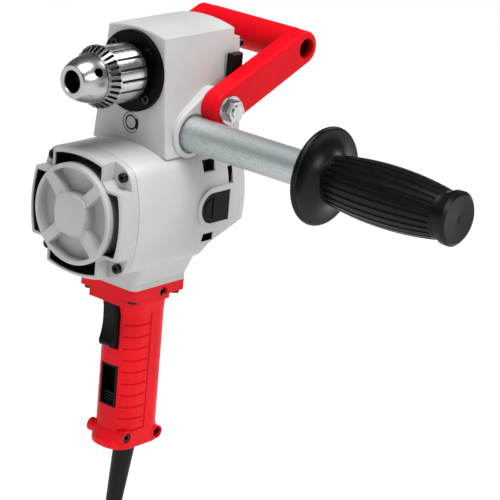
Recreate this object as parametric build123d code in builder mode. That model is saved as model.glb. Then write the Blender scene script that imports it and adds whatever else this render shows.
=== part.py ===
from build123d import *
import math
import os

# Frame: origin at the middle of the main grip, +X to the side handle, +Y to the rear, +Z up to the spindle.

# Driving sizes of the gear train
LOW_MODULE = 2.0
LOW_PINION_TEETH = 14
LOW_GEAR_TEETH = 26
HIGH_DRIVE_TEETH = 22
COUNTER_MODULE = 1.5
JACK_PINION_TEETH = 10
COUNTER_GEAR_TEETH = 34
MOTOR_MODULE = 1.0
MOTOR_PINION_TEETH = 11
JACK_GEAR_TEETH = 47
PRESSURE_ANGLE = math.radians(25)
ADDENDUM = 0.8
DEDENDUM = 1.1
TOOTH_THINNING = 0.24
GEAR_FACE = 7.0
HIGH_FACE = 6.0
FACE_GAP = 2.5

# Shaft axes, all on the middle plane
SPINDLE_Z = 235.0
COUNTER_Z = SPINDLE_Z - LOW_MODULE * (LOW_PINION_TEETH + LOW_GEAR_TEETH) / 2
JACK_Z = COUNTER_Z - COUNTER_MODULE * (JACK_PINION_TEETH + COUNTER_GEAR_TEETH) / 2
MOTOR_Z = JACK_Z - MOTOR_MODULE * (MOTOR_PINION_TEETH + JACK_GEAR_TEETH) / 2
HIGH_GEAR_TEETH = LOW_PINION_TEETH + LOW_GEAR_TEETH - HIGH_DRIVE_TEETH

# Clearances and fits
RUN_FIT = 0.04
SLIDE_FIT = 0.05
SEAT_GAP = 0.02
SIDE_PLAY = 0.4
SCREW_FIT = 0.1

# Gear case
FACE_Y = -19.0
CASE_DEPTH = 75.5
REAR_Y = FACE_Y + CASE_DEPTH
CASE_TOP_HALF = 29.0
CASE_SHOULDER = 29.5
CASE_CROWN = 33.5
CASE_LOW_HALF = 38.0
CASE_LOW = 60.0
CASE_EDGE = 1.6
CASE_FRONT_WALL = 14.0
CASE_FLARE = (CASE_LOW_HALF - CASE_TOP_HALF) / (CASE_LOW + CASE_SHOULDER)

# Gear stations along Y
STAGE2_Y = REAR_Y - 31.5
LOW_Y = STAGE2_Y + GEAR_FACE + FACE_GAP
DOG_LENGTH = 2.0
COLLAR_Y = LOW_Y + GEAR_FACE + FACE_GAP
COLLAR_LENGTH = 6.0
COLLAR_TRAVEL = 2.5
COLLAR_END_GAP = 0.3
REAR_DOG = 1.5
HIGH_DOG = 1.2
HIGH_Y = COLLAR_Y + COLLAR_LENGTH + REAR_DOG + COLLAR_TRAVEL + COLLAR_END_GAP + HIGH_DOG
STAGE1_Y = REAR_Y - 10.5
GEAR_ROOM = 1.4

# Motor barrel, end cap and rear cover
BARREL_HALF = 48.0
BARREL_CROWN = 8.0
BARREL_CORNER = BARREL_HALF - BARREL_CROWN
BARREL_FILLET = 14.0
SEAM_Y = -54.0
CAP_RIM_Y = -72.0
CAP_FACE_Y = -76.0
COVER_WALL = 2.6
COVER_STEP = 7.0
COVER_PAD = 9.5
COVER_PAD_R = 18.0
COVER_FLOOR_Y = HIGH_Y + HIGH_FACE + SIDE_PLAY
COVER_Y = COVER_FLOOR_Y + COVER_WALL
SLOPE_RISE = 0.445
SLOPE_LIFT = 18.0
SLOPE_Z = MOTOR_Z - BARREL_HALF + SLOPE_LIFT
SLOPE_Y = REAR_Y - 26.5
SLOPE_FILLET = 15.0

# Motor
MOTOR_BORE_R = 42.5
MOTOR_BORE_END_Y = 18.0
FIELD_INNER_R = 25.8
FIELD_FRONT_Y = -36.0
FIELD_LENGTH = 40.0
AIR_GAP = 0.8
ARMATURE_SHAFT_R = 5.0
COMMUTATOR_R = 13.0
COMMUTATOR_Y = 18.5
COMMUTATOR_LENGTH = 14.5
COMMUTATOR_ROOM = 4.0
MOTOR_BEARING_R = 11.0
MOTOR_BEARING_WIDTH = 7.0
MOTOR_REAR_BEARING_Y = 37.0
MOTOR_FRONT_BEARING_Y = -69.0
FAN_R = 37.0
FAN_Y = -56.0
FAN_WIDTH = 10.0
FAN_BLADES = 9

# Brushes
BRUSH_Y = 25.5
BRUSH_INSERT_DEPTH = 12.0
BRUSH_POCKET_R = 12.0
BRUSH_POCKET_LENGTH = 19.0
BRUSH_CAP_R = 7.6
BRUSH_TUBE_R = 6.5
BRUSH_SIDE = 7.0
BRUSH_LENGTH = 14.0
SURROUND_WIDTH = 4.0
SURROUND_RISE = 1.2

# Neck and main handle
NECK_Y = -4.0
NECK_SIDE = 58.0
NECK_CORNER = 4.5
SKIRT_START = 5.0
SKIRT_RISE = 17.0
SKIRT_SPREAD = 8.5
NECK_Z = 71.5
FLANGE_THICK = 8.5
FLANGE_Z = NECK_Z - FLANGE_THICK
GRIP_WIDTH = 37.0
GRIP_DEPTH = 46.0
GRIP_CORNER = 15.0
GRIP_WALL = 3.0
GRIP_FRONT_Y = -GRIP_DEPTH / 2
GRIP_TOP_Z = 44.0
GRIP_LOW_Z = -49.5
FLARE_Z = -59.0
HANDLE_BOTTOM_Z = -65.0
FLARE_WIDTH = 37.5
FLARE_DEPTH = 55.0
FLARE_CORNER = 16.0
LOBE_R = 5.4
LOBE_RISE = 0.5
RIB_COUNT = 10
RIB_PITCH = 9.6
RIB_DEPTH = 0.9
RIB_HEIGHT = 1.5
RIB_TOP_Z = 36.8
RIB_START_X = 10.5
RIB_BACK_Y = -0.5
HALF_GAP = 0.02

# Trigger and reversing switch
TRIGGER_WIDTH = 13.8
TRIGGER_TOP_Z = 55.0
TRIGGER_FOOT_Z = 18.0
TRIGGER_GAP = 0.6
TRIGGER_PIVOT_Z = 51.0
TRIGGER_PIVOT_Y = GRIP_FRONT_Y + 8.0
TRIGGER_STAND = 5.3
TRUNNION_R = 2.0
WINDOW_WIDTH = 16.5
WINDOW_TOP_Z = 3.0
WINDOW_HEIGHT = 34.0
SLIDER_HEIGHT = 9.0

# Spindle, retainer and plug
SPINDLE_R = 9.0
SPINDLE_THREAD_R = 7.9
SPINDLE_SHOULDER_R = 11.0
FRONT_BEARING_R = 21.0
FRONT_BEARING_BORE_R = 10.0
FRONT_BEARING_WIDTH = 12.0
REAR_BEARING_R = 15.0
REAR_BEARING_WIDTH = 9.0
RETAINER_R = 30.6
RETAINER_THICK = 4.5
RETAINER_SCREW_PCR = 25.0
RETAINER_BORE_R = 13.0
COUNTER_SHAFT_R = 6.0
COUNTER_BEARING_R = 8.0
COUNTER_BEARING_WIDTH = 8.0
JACK_SHAFT_R = 4.0
JACK_BEARING_R = 6.5
JACK_BEARING_WIDTH = 6.0
PLUG_R = 8.2
PLUG_THICK = 3.0
RING_GROOVE = 1.4

# Chuck
CHUCK_NOSE_Y = -84.0
CHUCK_REAR_Y = -25.5
CHUCK_NOSE_R = 12.6
CHUCK_MOUTH_R = 8.6
CHUCK_MOUTH_DEPTH = 1.6
CHUCK_BORE_R = 7.6
CHUCK_BODY_R = 17.5
CHUCK_BULGE_Y = -76.5
CHUCK_BULGE_R = 15.9
CHUCK_SHOULDER_R = 18.1
SLEEVE_FRONT_Y = -64.5
SLEEVE_REAR_Y = -26.5
SLEEVE_R = 21.9
SLEEVE_RING_R = 23.6
SLEEVE_RING_Y = -56.0
SLEEVE_TEETH = 30
SLEEVE_FLUTES = 16
FLUTE_R = 1.2
JAW_TILT = 20.0
JAW_R = 4.2
JAW_LENGTH = 18.0
JAW_TIP_RADIUS = 1.5
JAW_GRIP_R = 0.6
JAW_ANGLE = 90.0
JAW_WEDGE_GAP = 0.25
KEY_HOLE_R = 3.5
KEY_HOLE_DEPTH = 8.0
KEY_HOLE_SETBACK = 7.3

# Pipe socket, side handle
PIPE_Y = 6.4
PIPE_Z = SPINDLE_Z - 43.0
PIPE_R = 13.35
PIPE_BORE_R = 10.5
SOCKET_FACE_X = 40.0
SOCKET_FLOOR_X = 23.0
SOCKET_BOSS_R = 19.0
SOCKET_R = PIPE_R + 0.05
SOCKET_MOUTH_R = 15.2
SOCKET_MOUTH_DEPTH = 3.0
PIPE_END_X = 268.0
GUARD_X = 165.0
GUARD_R = 36.5
GUARD_RIM = 5.0
GRIP_ROOT_X = 178.0
GRIP_ROOT_R = 18.3
GRIP_MID_R = 22.5
GRIP_TAIL_X = 275.5
GRIP_TAIL_R = 17.8
GRIP_NECK_R = 16.9
GRIP_NECK_LENGTH = 4.5
GRIP_DISC_R = 19.8
GRIP_DISC_LENGTH = 7.2
GRIP_FLUTES = 26
GRIP_FLUTE_R = 1.1

# Bail handle
BAIL_Y = 26.8
BAIL_Z = SPINDLE_Z - 23.7
BAIL_REACH_Y = 85.5
BAIL_REACH_Z = 35.7
BAIL_INNER_X = 40.6
BAIL_THICK = 15.0
BAIL_OUTER_X = BAIL_INNER_X + BAIL_THICK
BAIL_BOSS_R = 14.0
BAIL_END_R = 13.2
BAIL_BAR_R = 13.5
BAIL_BORE_R = 8.0
BAIL_BORE_DEPTH = 26.0
BAIL_FILLET = 3.2
BAIL_BOLT_R = 5.0
BAIL_BOLT_FIT = 0.06
BAIL_BOLT_TIP_X = 26.5
BAIL_PAD_R = 13.5
BAIL_SEAT_GAP = 0.3
BOLT_FLANGE_R = 10.9
BOLT_FLANGE_THICK = 2.6
BOLT_HEX = 15.0
BOLT_HEAD = 5.4
BOLT_CROWN_R = 5.0
BOLT_CROWN = 1.2

# Shift lever
LEVER_Y = COLLAR_Y + COLLAR_LENGTH / 2
LEVER_Z = SPINDLE_Z - 14.0
LEVER_TOP_Z = SPINDLE_Z + 12.5
LEVER_WIDTH = 12.0
LEVER_TAB_SHIFT = 4.4
LEVER_TAB_WIDTH = 13.0
LEVER_TAB_LOW_Z = LEVER_Z + 4.0
LEVER_THICK = 5.0
LEVER_SHAFT_R = 4.0
CRANK_X = 19.0
CRANK_THICK = 5.0
CRANK_HUB_R = 5.0
CRANK_ARM = 5.0
CRANK_ROOM = 0.6
CRANK_PIN_R = 1.4
GROOVE_PLAY = 0.35
COLLAR_R = 15.0
COLLAR_GROOVE_R = 12.0

# Cord
CORD_R = 4.5
BOOT_TOP_R = 8.7
BOOT_TIP_R = 6.2
BOOT_LENGTH = 56.0
BOOT_LEAN = 9.0
FLOOR_Z = -205.0
COIL_TURN_R = 52.0
COIL_STEP = 9.9
COIL_TURNS_PER_LAYER = 3.0
COIL_LIFT = 1.6
PLUG_BODY_R = 13.0
PLUG_BODY_LENGTH = 34.0
PRONG_LENGTH = 18.0

os.makedirs("parts", exist_ok=True)


def front(y):
    """Sketch plane at y with local axes X and Z."""
    return Plane.XZ.offset(-y)


def side(x):
    """Sketch plane at x with local axes Y and Z."""
    return Plane.YZ.offset(x)


def rod_y(radius, y0, y1, x, z, mode=Mode.ADD):
    """Cylinder along Y from y0 to y1."""
    with Locations((x, (y0 + y1) / 2, z)):
        Cylinder(radius, y1 - y0, rotation=(90, 0, 0), mode=mode)


def rod_x(radius, x0, x1, y, z, mode=Mode.ADD):
    """Cylinder along X from x0 to x1."""
    with Locations(((x0 + x1) / 2, y, z)):
        Cylinder(radius, abs(x1 - x0), rotation=(0, 90, 0), mode=mode)


def save(part, name):
    """Label a finished piece and write it."""
    part.label = name
    export_step(part, f"parts/{name}.step")


def case_half(z):
    """Half width of the flared gear case at height z."""
    return CASE_TOP_HALF + CASE_FLARE * (SPINDLE_Z + CASE_SHOULDER - z)


def crowned_square(half, corner, rounding):
    """Square with bowed sides and rounded corners, centred on its own origin."""
    corners = [(corner, -corner), (corner, corner), (-corner, corner), (-corner, -corner)]
    middles = [(half, 0), (0, half), (-half, 0), (0, -half)]
    with BuildSketch() as outline:
        with BuildLine():
            for start, middle, end in zip(corners, middles, corners[1:] + corners[:1]):
                ThreePointArc(start, middle, end)
        make_face()
        fillet(outline.vertices(), rounding)
    return outline.sketch


def tooth_angle(radius, teeth, module):
    """Half the angle that a tooth fills at a radius, from the involute of its base circle."""
    pitch_r = module * teeth / 2
    base_r = pitch_r * math.cos(PRESSURE_ANGLE)
    reach = math.acos(min(1.0, base_r / radius))
    roll = math.tan(PRESSURE_ANGLE) - PRESSURE_ANGLE - math.tan(reach) + reach
    return math.pi / (2 * teeth) - TOOTH_THINNING / (2 * pitch_r) + roll


def toothed_face(teeth, module, phase, y, z):
    """Face of an involute gear on an axis at z, with a tooth centred on the phase angle."""
    pitch_r = module * teeth / 2
    root_r = pitch_r - DEDENDUM * module
    tip_r = pitch_r + ADDENDUM * module
    flank_r = max(root_r, pitch_r * math.cos(PRESSURE_ANGLE))
    mid_r = (flank_r + tip_r) / 2

    def at(radius, angle):
        return (radius * math.cos(angle), z + radius * math.sin(angle))

    with BuildSketch(front(y)) as face:
        with BuildLine():
            for tooth in range(teeth):
                middle = math.radians(phase) + 2 * math.pi * tooth / teeth
                after = middle + 2 * math.pi / teeth
                foot = tooth_angle(flank_r, teeth, module)
                waist = tooth_angle(mid_r, teeth, module)
                tip = tooth_angle(tip_r, teeth, module)
                if flank_r > root_r:
                    Line(at(root_r, middle - foot), at(flank_r, middle - foot))
                    Line(at(flank_r, middle + foot), at(root_r, middle + foot))
                ThreePointArc(at(flank_r, middle - foot), at(mid_r, middle - waist), at(tip_r, middle - tip))
                ThreePointArc(at(tip_r, middle - tip), at(tip_r, middle), at(tip_r, middle + tip))
                ThreePointArc(at(tip_r, middle + tip), at(mid_r, middle + waist), at(flank_r, middle + foot))
                ThreePointArc(
                    at(root_r, middle + foot), at(root_r, (middle + after) / 2), at(root_r, after - foot)
                )
        make_face()
    return face.sketch


def gear_reach(teeth, module):
    """Radius over the teeth of a gear."""
    return module * (teeth / 2 + ADDENDUM)


# Phases that set a tooth of the driving gear in a space of the driven one
UP = 90.0
DOWN = -90.0


def space_phase(direction, teeth):
    """Phase that puts a space in a direction."""
    return direction + 180.0 / teeth


def sector(inner_r, outer_r, middle, spread):
    """Ring sector centred on its own origin, angles in degrees."""
    start = middle - spread / 2
    with BuildSketch() as face:
        with BuildLine():
            outer = CenterArc((0, 0), outer_r, start, spread)
            inner = CenterArc((0, 0), inner_r, start, spread)
            Line(outer @ 0, inner @ 0)
            Line(outer @ 1, inner @ 1)
        make_face()
    return face.sketch


def ring_sectors(inner_r, outer_r, angles, spread, y, z):
    """Ring sectors round an axis along Y, on the sketch plane at y."""
    with BuildSketch(front(y)) as ring:
        for angle in angles:
            with Locations((0, z)):
                add(sector(inner_r, outer_r, angle, spread))
    return ring.sketch


def add_bearing(bore_r, outer_r, y0, width, z):
    """Ball bearing as one ring with a shallow shield groove in each face."""
    groove = (outer_r - bore_r) * 0.2
    groove_depth = width * 0.06
    middle_r = (bore_r + outer_r) / 2
    rod_y(outer_r - SEAT_GAP, y0, y0 + width, 0, z)
    rod_y(bore_r, y0, y0 + width, 0, z, Mode.SUBTRACT)
    for face_y in (y0, y0 + width - groove_depth):
        rod_y(middle_r + groove, face_y, face_y + groove_depth, 0, z, Mode.SUBTRACT)
        rod_y(middle_r - groove, face_y, face_y + groove_depth, 0, z)
        rod_y(bore_r, face_y, face_y + groove_depth, 0, z, Mode.SUBTRACT)


def gear_wheel(teeth, module, phase, y0, width, z, bore_r):
    """Spur gear with a plain bore."""
    with BuildPart() as wheel:
        extrude(toothed_face(teeth, module, phase, y0, z), amount=-width)
        rod_y(bore_r, y0, y0 + width, 0, z, Mode.SUBTRACT)
    return wheel.part


# Spindle, with the keyways that drive the shift collar
SPINDLE_REAR_R = SPINDLE_R - 1.5
SPINDLE_NOSE_Y = CHUCK_REAR_Y - 16.0
REAR_BEARING_Y = COVER_FLOOR_Y + SIDE_PLAY
FRONT_BEARING_END_Y = FACE_Y + FRONT_BEARING_WIDTH
KEYWAY_WIDTH = 3.2
KEYWAY_DEPTH = 1.4
KEYWAY_COUNT = 4
with BuildPart() as spindle:
    rod_y(SPINDLE_THREAD_R, SPINDLE_NOSE_Y, CHUCK_REAR_Y, 0, SPINDLE_Z)
    rod_y(SPINDLE_SHOULDER_R, CHUCK_REAR_Y, FACE_Y - SIDE_PLAY, 0, SPINDLE_Z)
    rod_y(FRONT_BEARING_BORE_R - RUN_FIT, FACE_Y - SIDE_PLAY, FRONT_BEARING_END_Y, 0, SPINDLE_Z)
    rod_y(SPINDLE_R, FRONT_BEARING_END_Y, HIGH_Y + HIGH_FACE + SIDE_PLAY / 2, 0, SPINDLE_Z)
    rod_y(
        SPINDLE_REAR_R - RUN_FIT, HIGH_Y + HIGH_FACE, REAR_BEARING_Y + REAR_BEARING_WIDTH - SIDE_PLAY, 0, SPINDLE_Z
    )
    with BuildSketch(front(LOW_Y)):
        with Locations((0, SPINDLE_Z)):
            with PolarLocations(SPINDLE_R, KEYWAY_COUNT):
                Rectangle(2 * KEYWAY_DEPTH, KEYWAY_WIDTH)
    extrude(amount=-(HIGH_Y + HIGH_FACE + SIDE_PLAY - LOW_Y), mode=Mode.SUBTRACT)
save(spindle.part, "spindle")

with BuildPart() as spindle_bearings:
    add_bearing(FRONT_BEARING_BORE_R, FRONT_BEARING_R, FACE_Y, FRONT_BEARING_WIDTH, SPINDLE_Z)
    add_bearing(SPINDLE_REAR_R, REAR_BEARING_R, REAR_BEARING_Y, REAR_BEARING_WIDTH, SPINDLE_Z)
save(spindle_bearings.part, "spindle_bearings")

# Low and high gears, free on the spindle, and the collar between them
DOG_INNER_R = SPINDLE_R + 1.5
DOG_OUTER_R = COLLAR_GROOVE_R + 1.5
DOG_SPREAD = 54.0
DOG_ANGLES = (0, 120, 240)
with BuildPart() as low_gear:
    extrude(
        toothed_face(LOW_GEAR_TEETH, LOW_MODULE, space_phase(DOWN, LOW_GEAR_TEETH), LOW_Y, SPINDLE_Z),
        amount=-GEAR_FACE,
    )
    extrude(
        ring_sectors(DOG_INNER_R, DOG_OUTER_R, DOG_ANGLES, DOG_SPREAD, LOW_Y + GEAR_FACE, SPINDLE_Z),
        amount=-DOG_LENGTH,
    )
    rod_y(SPINDLE_R + RUN_FIT, LOW_Y, LOW_Y + GEAR_FACE, 0, SPINDLE_Z, Mode.SUBTRACT)
save(low_gear.part, "low_gear")

with BuildPart() as high_gear:
    extrude(
        toothed_face(HIGH_GEAR_TEETH, LOW_MODULE, space_phase(DOWN, HIGH_GEAR_TEETH), HIGH_Y, SPINDLE_Z),
        amount=-HIGH_FACE,
    )
    extrude(
        ring_sectors(DOG_INNER_R, DOG_OUTER_R, DOG_ANGLES, DOG_SPREAD, HIGH_Y, SPINDLE_Z),
        amount=HIGH_DOG,
    )
    rod_y(SPINDLE_R + RUN_FIT, HIGH_Y, HIGH_Y + HIGH_FACE, 0, SPINDLE_Z, Mode.SUBTRACT)
save(high_gear.part, "high_gear")

COLLAR_DOG_ANGLES = tuple(angle + 60 for angle in DOG_ANGLES)
GROOVE_WIDTH = 2 * (CRANK_PIN_R + GROOVE_PLAY)
with BuildPart() as shift_collar:
    rod_y(COLLAR_R, COLLAR_Y, COLLAR_Y + COLLAR_LENGTH, 0, SPINDLE_Z)
    with BuildSketch(front(LEVER_Y - GROOVE_WIDTH / 2)):
        with Locations((0, SPINDLE_Z)):
            Circle(COLLAR_R)
            Circle(COLLAR_GROOVE_R, mode=Mode.SUBTRACT)
    extrude(amount=-GROOVE_WIDTH, mode=Mode.SUBTRACT)
    extrude(
        ring_sectors(DOG_INNER_R, DOG_OUTER_R, COLLAR_DOG_ANGLES, DOG_SPREAD, COLLAR_Y, SPINDLE_Z),
        amount=DOG_LENGTH,
    )
    extrude(
        ring_sectors(DOG_INNER_R, DOG_OUTER_R, COLLAR_DOG_ANGLES, DOG_SPREAD, COLLAR_Y + COLLAR_LENGTH, SPINDLE_Z),
        amount=-REAR_DOG,
    )
    rod_y(SPINDLE_R + SLIDE_FIT, COLLAR_Y, COLLAR_Y + COLLAR_LENGTH, 0, SPINDLE_Z, Mode.SUBTRACT)
    with BuildSketch(front(COLLAR_Y)):
        with Locations((0, SPINDLE_Z)):
            with PolarLocations(SPINDLE_R + SLIDE_FIT, KEYWAY_COUNT):
                Rectangle(2 * (KEYWAY_DEPTH - 2 * SLIDE_FIT), KEYWAY_WIDTH - 4 * SLIDE_FIT)
    extrude(amount=-COLLAR_LENGTH)
save(shift_collar.part, "shift_collar")

# Countershaft with its low pinion, and the two wheels pressed on it
COUNTER_FRONT_Y = FACE_Y + 5.5
with BuildPart() as countershaft:
    rod_y(
        COUNTER_SHAFT_R - RUN_FIT, COUNTER_FRONT_Y, REAR_BEARING_Y + COUNTER_BEARING_WIDTH - SIDE_PLAY, 0, COUNTER_Z
    )
    extrude(toothed_face(LOW_PINION_TEETH, LOW_MODULE, UP, LOW_Y, COUNTER_Z), amount=-GEAR_FACE)
save(countershaft.part, "countershaft")

save(
    gear_wheel(
        COUNTER_GEAR_TEETH, COUNTER_MODULE, space_phase(DOWN, COUNTER_GEAR_TEETH), STAGE2_Y, GEAR_FACE, COUNTER_Z,
        COUNTER_SHAFT_R,
    ),
    "counter_gear",
)
save(
    gear_wheel(HIGH_DRIVE_TEETH, LOW_MODULE, UP, HIGH_Y, HIGH_FACE, COUNTER_Z, COUNTER_SHAFT_R),
    "high_drive_gear",
)

with BuildPart() as countershaft_bearings:
    add_bearing(COUNTER_SHAFT_R, COUNTER_BEARING_R, COUNTER_FRONT_Y, COUNTER_BEARING_WIDTH, COUNTER_Z)
    add_bearing(COUNTER_SHAFT_R, COUNTER_BEARING_R, REAR_BEARING_Y, COUNTER_BEARING_WIDTH, COUNTER_Z)
save(countershaft_bearings.part, "countershaft_bearings")

# Plug in front of the countershaft and the open ring that holds it
RING_Y = FACE_Y + 0.4
PLUG_Y = RING_Y + RING_GROOVE
PLUG_BUTTON_R = PLUG_R * 0.55
with BuildPart() as countershaft_plug:
    rod_y(PLUG_R - SEAT_GAP, PLUG_Y, PLUG_Y + PLUG_THICK, 0, COUNTER_Z)
    rod_y(PLUG_BUTTON_R, RING_Y, PLUG_Y, 0, COUNTER_Z)
save(countershaft_plug.part, "countershaft_plug")

RING_INNER_R = PLUG_R * 0.72
RING_MOUTH = 70.0
with BuildPart() as plug_retaining_ring:
    extrude(
        ring_sectors(RING_INNER_R, PLUG_R - SEAT_GAP, (180,), 360 - RING_MOUTH, RING_Y, COUNTER_Z),
        amount=-RING_GROOVE,
    )
save(plug_retaining_ring.part, "plug_retaining_ring")

# Jackshaft with its pinion, its wheel and its bearings
JACK_FRONT_Y = STAGE2_Y - SIDE_PLAY - JACK_BEARING_WIDTH
JACK_REAR_Y = STAGE1_Y + GEAR_FACE + 1.5
with BuildPart() as jackshaft:
    rod_y(JACK_SHAFT_R - RUN_FIT, JACK_FRONT_Y, JACK_REAR_Y + JACK_BEARING_WIDTH - SIDE_PLAY, 0, JACK_Z)
    extrude(toothed_face(JACK_PINION_TEETH, COUNTER_MODULE, UP, STAGE2_Y, JACK_Z), amount=-GEAR_FACE)
save(jackshaft.part, "jackshaft")

save(
    gear_wheel(
        JACK_GEAR_TEETH, MOTOR_MODULE, space_phase(DOWN, JACK_GEAR_TEETH), STAGE1_Y, GEAR_FACE, JACK_Z, JACK_SHAFT_R
    ),
    "jackshaft_gear",
)

with BuildPart() as jackshaft_bearings:
    add_bearing(JACK_SHAFT_R, JACK_BEARING_R, JACK_FRONT_Y, JACK_BEARING_WIDTH, JACK_Z)
    add_bearing(JACK_SHAFT_R, JACK_BEARING_R, JACK_REAR_Y, JACK_BEARING_WIDTH, JACK_Z)
save(jackshaft_bearings.part, "jackshaft_bearings")

# Armature
CORE_R = FIELD_INNER_R - AIR_GAP
CORE_SLOTS = 12
CORE_SLOT_WIDTH = 3.0
CORE_SLOT_DEPTH = 9.0
PINION_ROOT_R = MOTOR_MODULE * (MOTOR_PINION_TEETH / 2 - DEDENDUM)
WINDING_FRONT = 6.5
WINDING_REAR = 9.5
WINDING_R = CORE_R - 2.0
with BuildPart() as armature_shaft:
    rod_y(ARMATURE_SHAFT_R - RUN_FIT, MOTOR_FRONT_BEARING_Y, STAGE1_Y - SIDE_PLAY, 0, MOTOR_Z)
    rod_y(PINION_ROOT_R, STAGE1_Y - SIDE_PLAY, STAGE1_Y + GEAR_FACE, 0, MOTOR_Z)
    extrude(toothed_face(MOTOR_PINION_TEETH, MOTOR_MODULE, UP, STAGE1_Y, MOTOR_Z), amount=-GEAR_FACE)
save(armature_shaft.part, "armature_shaft")

with BuildPart() as armature_core:
    rod_y(CORE_R, FIELD_FRONT_Y, FIELD_FRONT_Y + FIELD_LENGTH, 0, MOTOR_Z)
    rod_y(ARMATURE_SHAFT_R, FIELD_FRONT_Y, FIELD_FRONT_Y + FIELD_LENGTH, 0, MOTOR_Z, Mode.SUBTRACT)
    with BuildSketch(front(FIELD_FRONT_Y)):
        with Locations((0, MOTOR_Z)):
            with PolarLocations(CORE_R - CORE_SLOT_DEPTH / 2, CORE_SLOTS):
                Rectangle(CORE_SLOT_DEPTH * 1.2, CORE_SLOT_WIDTH)
    extrude(amount=-FIELD_LENGTH, mode=Mode.SUBTRACT)
save(armature_core.part, "armature_core")

with BuildPart() as armature_windings:
    rod_y(WINDING_R, FIELD_FRONT_Y - WINDING_FRONT, FIELD_FRONT_Y, 0, MOTOR_Z)
    rod_y(WINDING_R, FIELD_FRONT_Y + FIELD_LENGTH, FIELD_FRONT_Y + FIELD_LENGTH + WINDING_REAR, 0, MOTOR_Z)
    fillet(armature_windings.edges().filter_by(GeomType.CIRCLE), 2.4)
    rod_y(
        ARMATURE_SHAFT_R, FIELD_FRONT_Y - WINDING_FRONT, FIELD_FRONT_Y + FIELD_LENGTH + WINDING_REAR, 0, MOTOR_Z,
        Mode.SUBTRACT,
    )
save(armature_windings.part, "armature_windings")

BAR_GROOVES = 24
BAR_GROOVE = 0.6
with BuildPart() as commutator:
    rod_y(COMMUTATOR_R, COMMUTATOR_Y, COMMUTATOR_Y + COMMUTATOR_LENGTH, 0, MOTOR_Z)
    rod_y(ARMATURE_SHAFT_R, COMMUTATOR_Y, COMMUTATOR_Y + COMMUTATOR_LENGTH, 0, MOTOR_Z, Mode.SUBTRACT)
    with BuildSketch(front(COMMUTATOR_Y)):
        with Locations((0, MOTOR_Z)):
            with PolarLocations(COMMUTATOR_R, BAR_GROOVES):
                Rectangle(2 * BAR_GROOVE, BAR_GROOVE)
    extrude(amount=-COMMUTATOR_LENGTH, mode=Mode.SUBTRACT)
save(commutator.part, "commutator")

FAN_HUB_R = 12.0
FAN_PLATE = 2.0
BLADE_THICK = 1.8
with BuildPart() as fan:
    rod_y(FAN_R, FAN_Y + FAN_WIDTH - FAN_PLATE, FAN_Y + FAN_WIDTH, 0, MOTOR_Z)
    rod_y(FAN_HUB_R, FAN_Y, FAN_Y + FAN_WIDTH, 0, MOTOR_Z)
    with BuildSketch(front(FAN_Y)):
        with Locations((0, MOTOR_Z)):
            with PolarLocations((FAN_HUB_R + FAN_R) / 2 - BLADE_THICK, FAN_BLADES):
                Rectangle(FAN_R - FAN_HUB_R, BLADE_THICK)
    extrude(amount=-FAN_WIDTH)
    rod_y(ARMATURE_SHAFT_R, FAN_Y, FAN_Y + FAN_WIDTH, 0, MOTOR_Z, Mode.SUBTRACT)
save(fan.part, "fan")

with BuildPart() as armature_bearings:
    add_bearing(ARMATURE_SHAFT_R, MOTOR_BEARING_R, MOTOR_FRONT_BEARING_Y, MOTOR_BEARING_WIDTH, MOTOR_Z)
    add_bearing(ARMATURE_SHAFT_R, MOTOR_BEARING_R, MOTOR_REAR_BEARING_Y, MOTOR_BEARING_WIDTH, MOTOR_Z)
save(armature_bearings.part, "armature_bearings")

# Field
FIELD_YOKE_R = 36.0
POLE_SPREAD = 112.0
COIL_SPREAD = 56.0
COIL_OVERHANG = 5.0
COIL_GAP = 0.3
FIELD_FIT = 0.1
with BuildPart() as field_core:
    rod_y(MOTOR_BORE_R - FIELD_FIT, FIELD_FRONT_Y, FIELD_FRONT_Y + FIELD_LENGTH, 0, MOTOR_Z)
    rod_y(FIELD_YOKE_R, FIELD_FRONT_Y, FIELD_FRONT_Y + FIELD_LENGTH, 0, MOTOR_Z, Mode.SUBTRACT)
    extrude(
        ring_sectors(FIELD_INNER_R, FIELD_YOKE_R + 1, (UP, DOWN), POLE_SPREAD, FIELD_FRONT_Y, MOTOR_Z),
        amount=-FIELD_LENGTH,
    )
save(field_core.part, "field_core")

with BuildPart() as field_coils:
    extrude(
        ring_sectors(
            FIELD_INNER_R + COIL_GAP, FIELD_YOKE_R - COIL_GAP, (0, 180), COIL_SPREAD, FIELD_FRONT_Y - COIL_OVERHANG,
            MOTOR_Z,
        ),
        amount=-(FIELD_LENGTH + 2 * COIL_OVERHANG),
    )
save(field_coils.part, "field_coils")

# Main housing: gear case, motor barrel and neck in one casting
BARREL_LOW_Z = MOTOR_Z - BARREL_HALF
NECK_BACK_Y = NECK_Y + NECK_SIDE / 2
CUT_SPAN = 2 * BARREL_HALF + 10
COUNTER_FRONT_ROOM_R = gear_reach(LOW_PINION_TEETH, LOW_MODULE) + GEAR_ROOM
CHAMBER_FRONT_Y = FACE_Y + CASE_FRONT_WALL
SPINDLE_ROOM_R = gear_reach(LOW_GEAR_TEETH, LOW_MODULE) + GEAR_ROOM
COUNTER_ROOM_R = gear_reach(COUNTER_GEAR_TEETH, COUNTER_MODULE) + GEAR_ROOM
JACK_TUNNEL_R = gear_reach(JACK_PINION_TEETH, COUNTER_MODULE) + GEAR_ROOM
JACK_ROOM_R = gear_reach(JACK_GEAR_TEETH, MOTOR_MODULE) + GEAR_ROOM
COUNTER_ROOM_Y = STAGE2_Y - SIDE_PLAY
NECK_PASSAGE = 30.0
VENT_SLOTS = ((24.5, 32.0, 13.0, 9.0), (47.0, 22.0, 5.0, 13.0), (26.5, -24.0, 12.0, 6.5))
VENT_DEPTH = 6.0
SIDES = (-1, 1)

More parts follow.
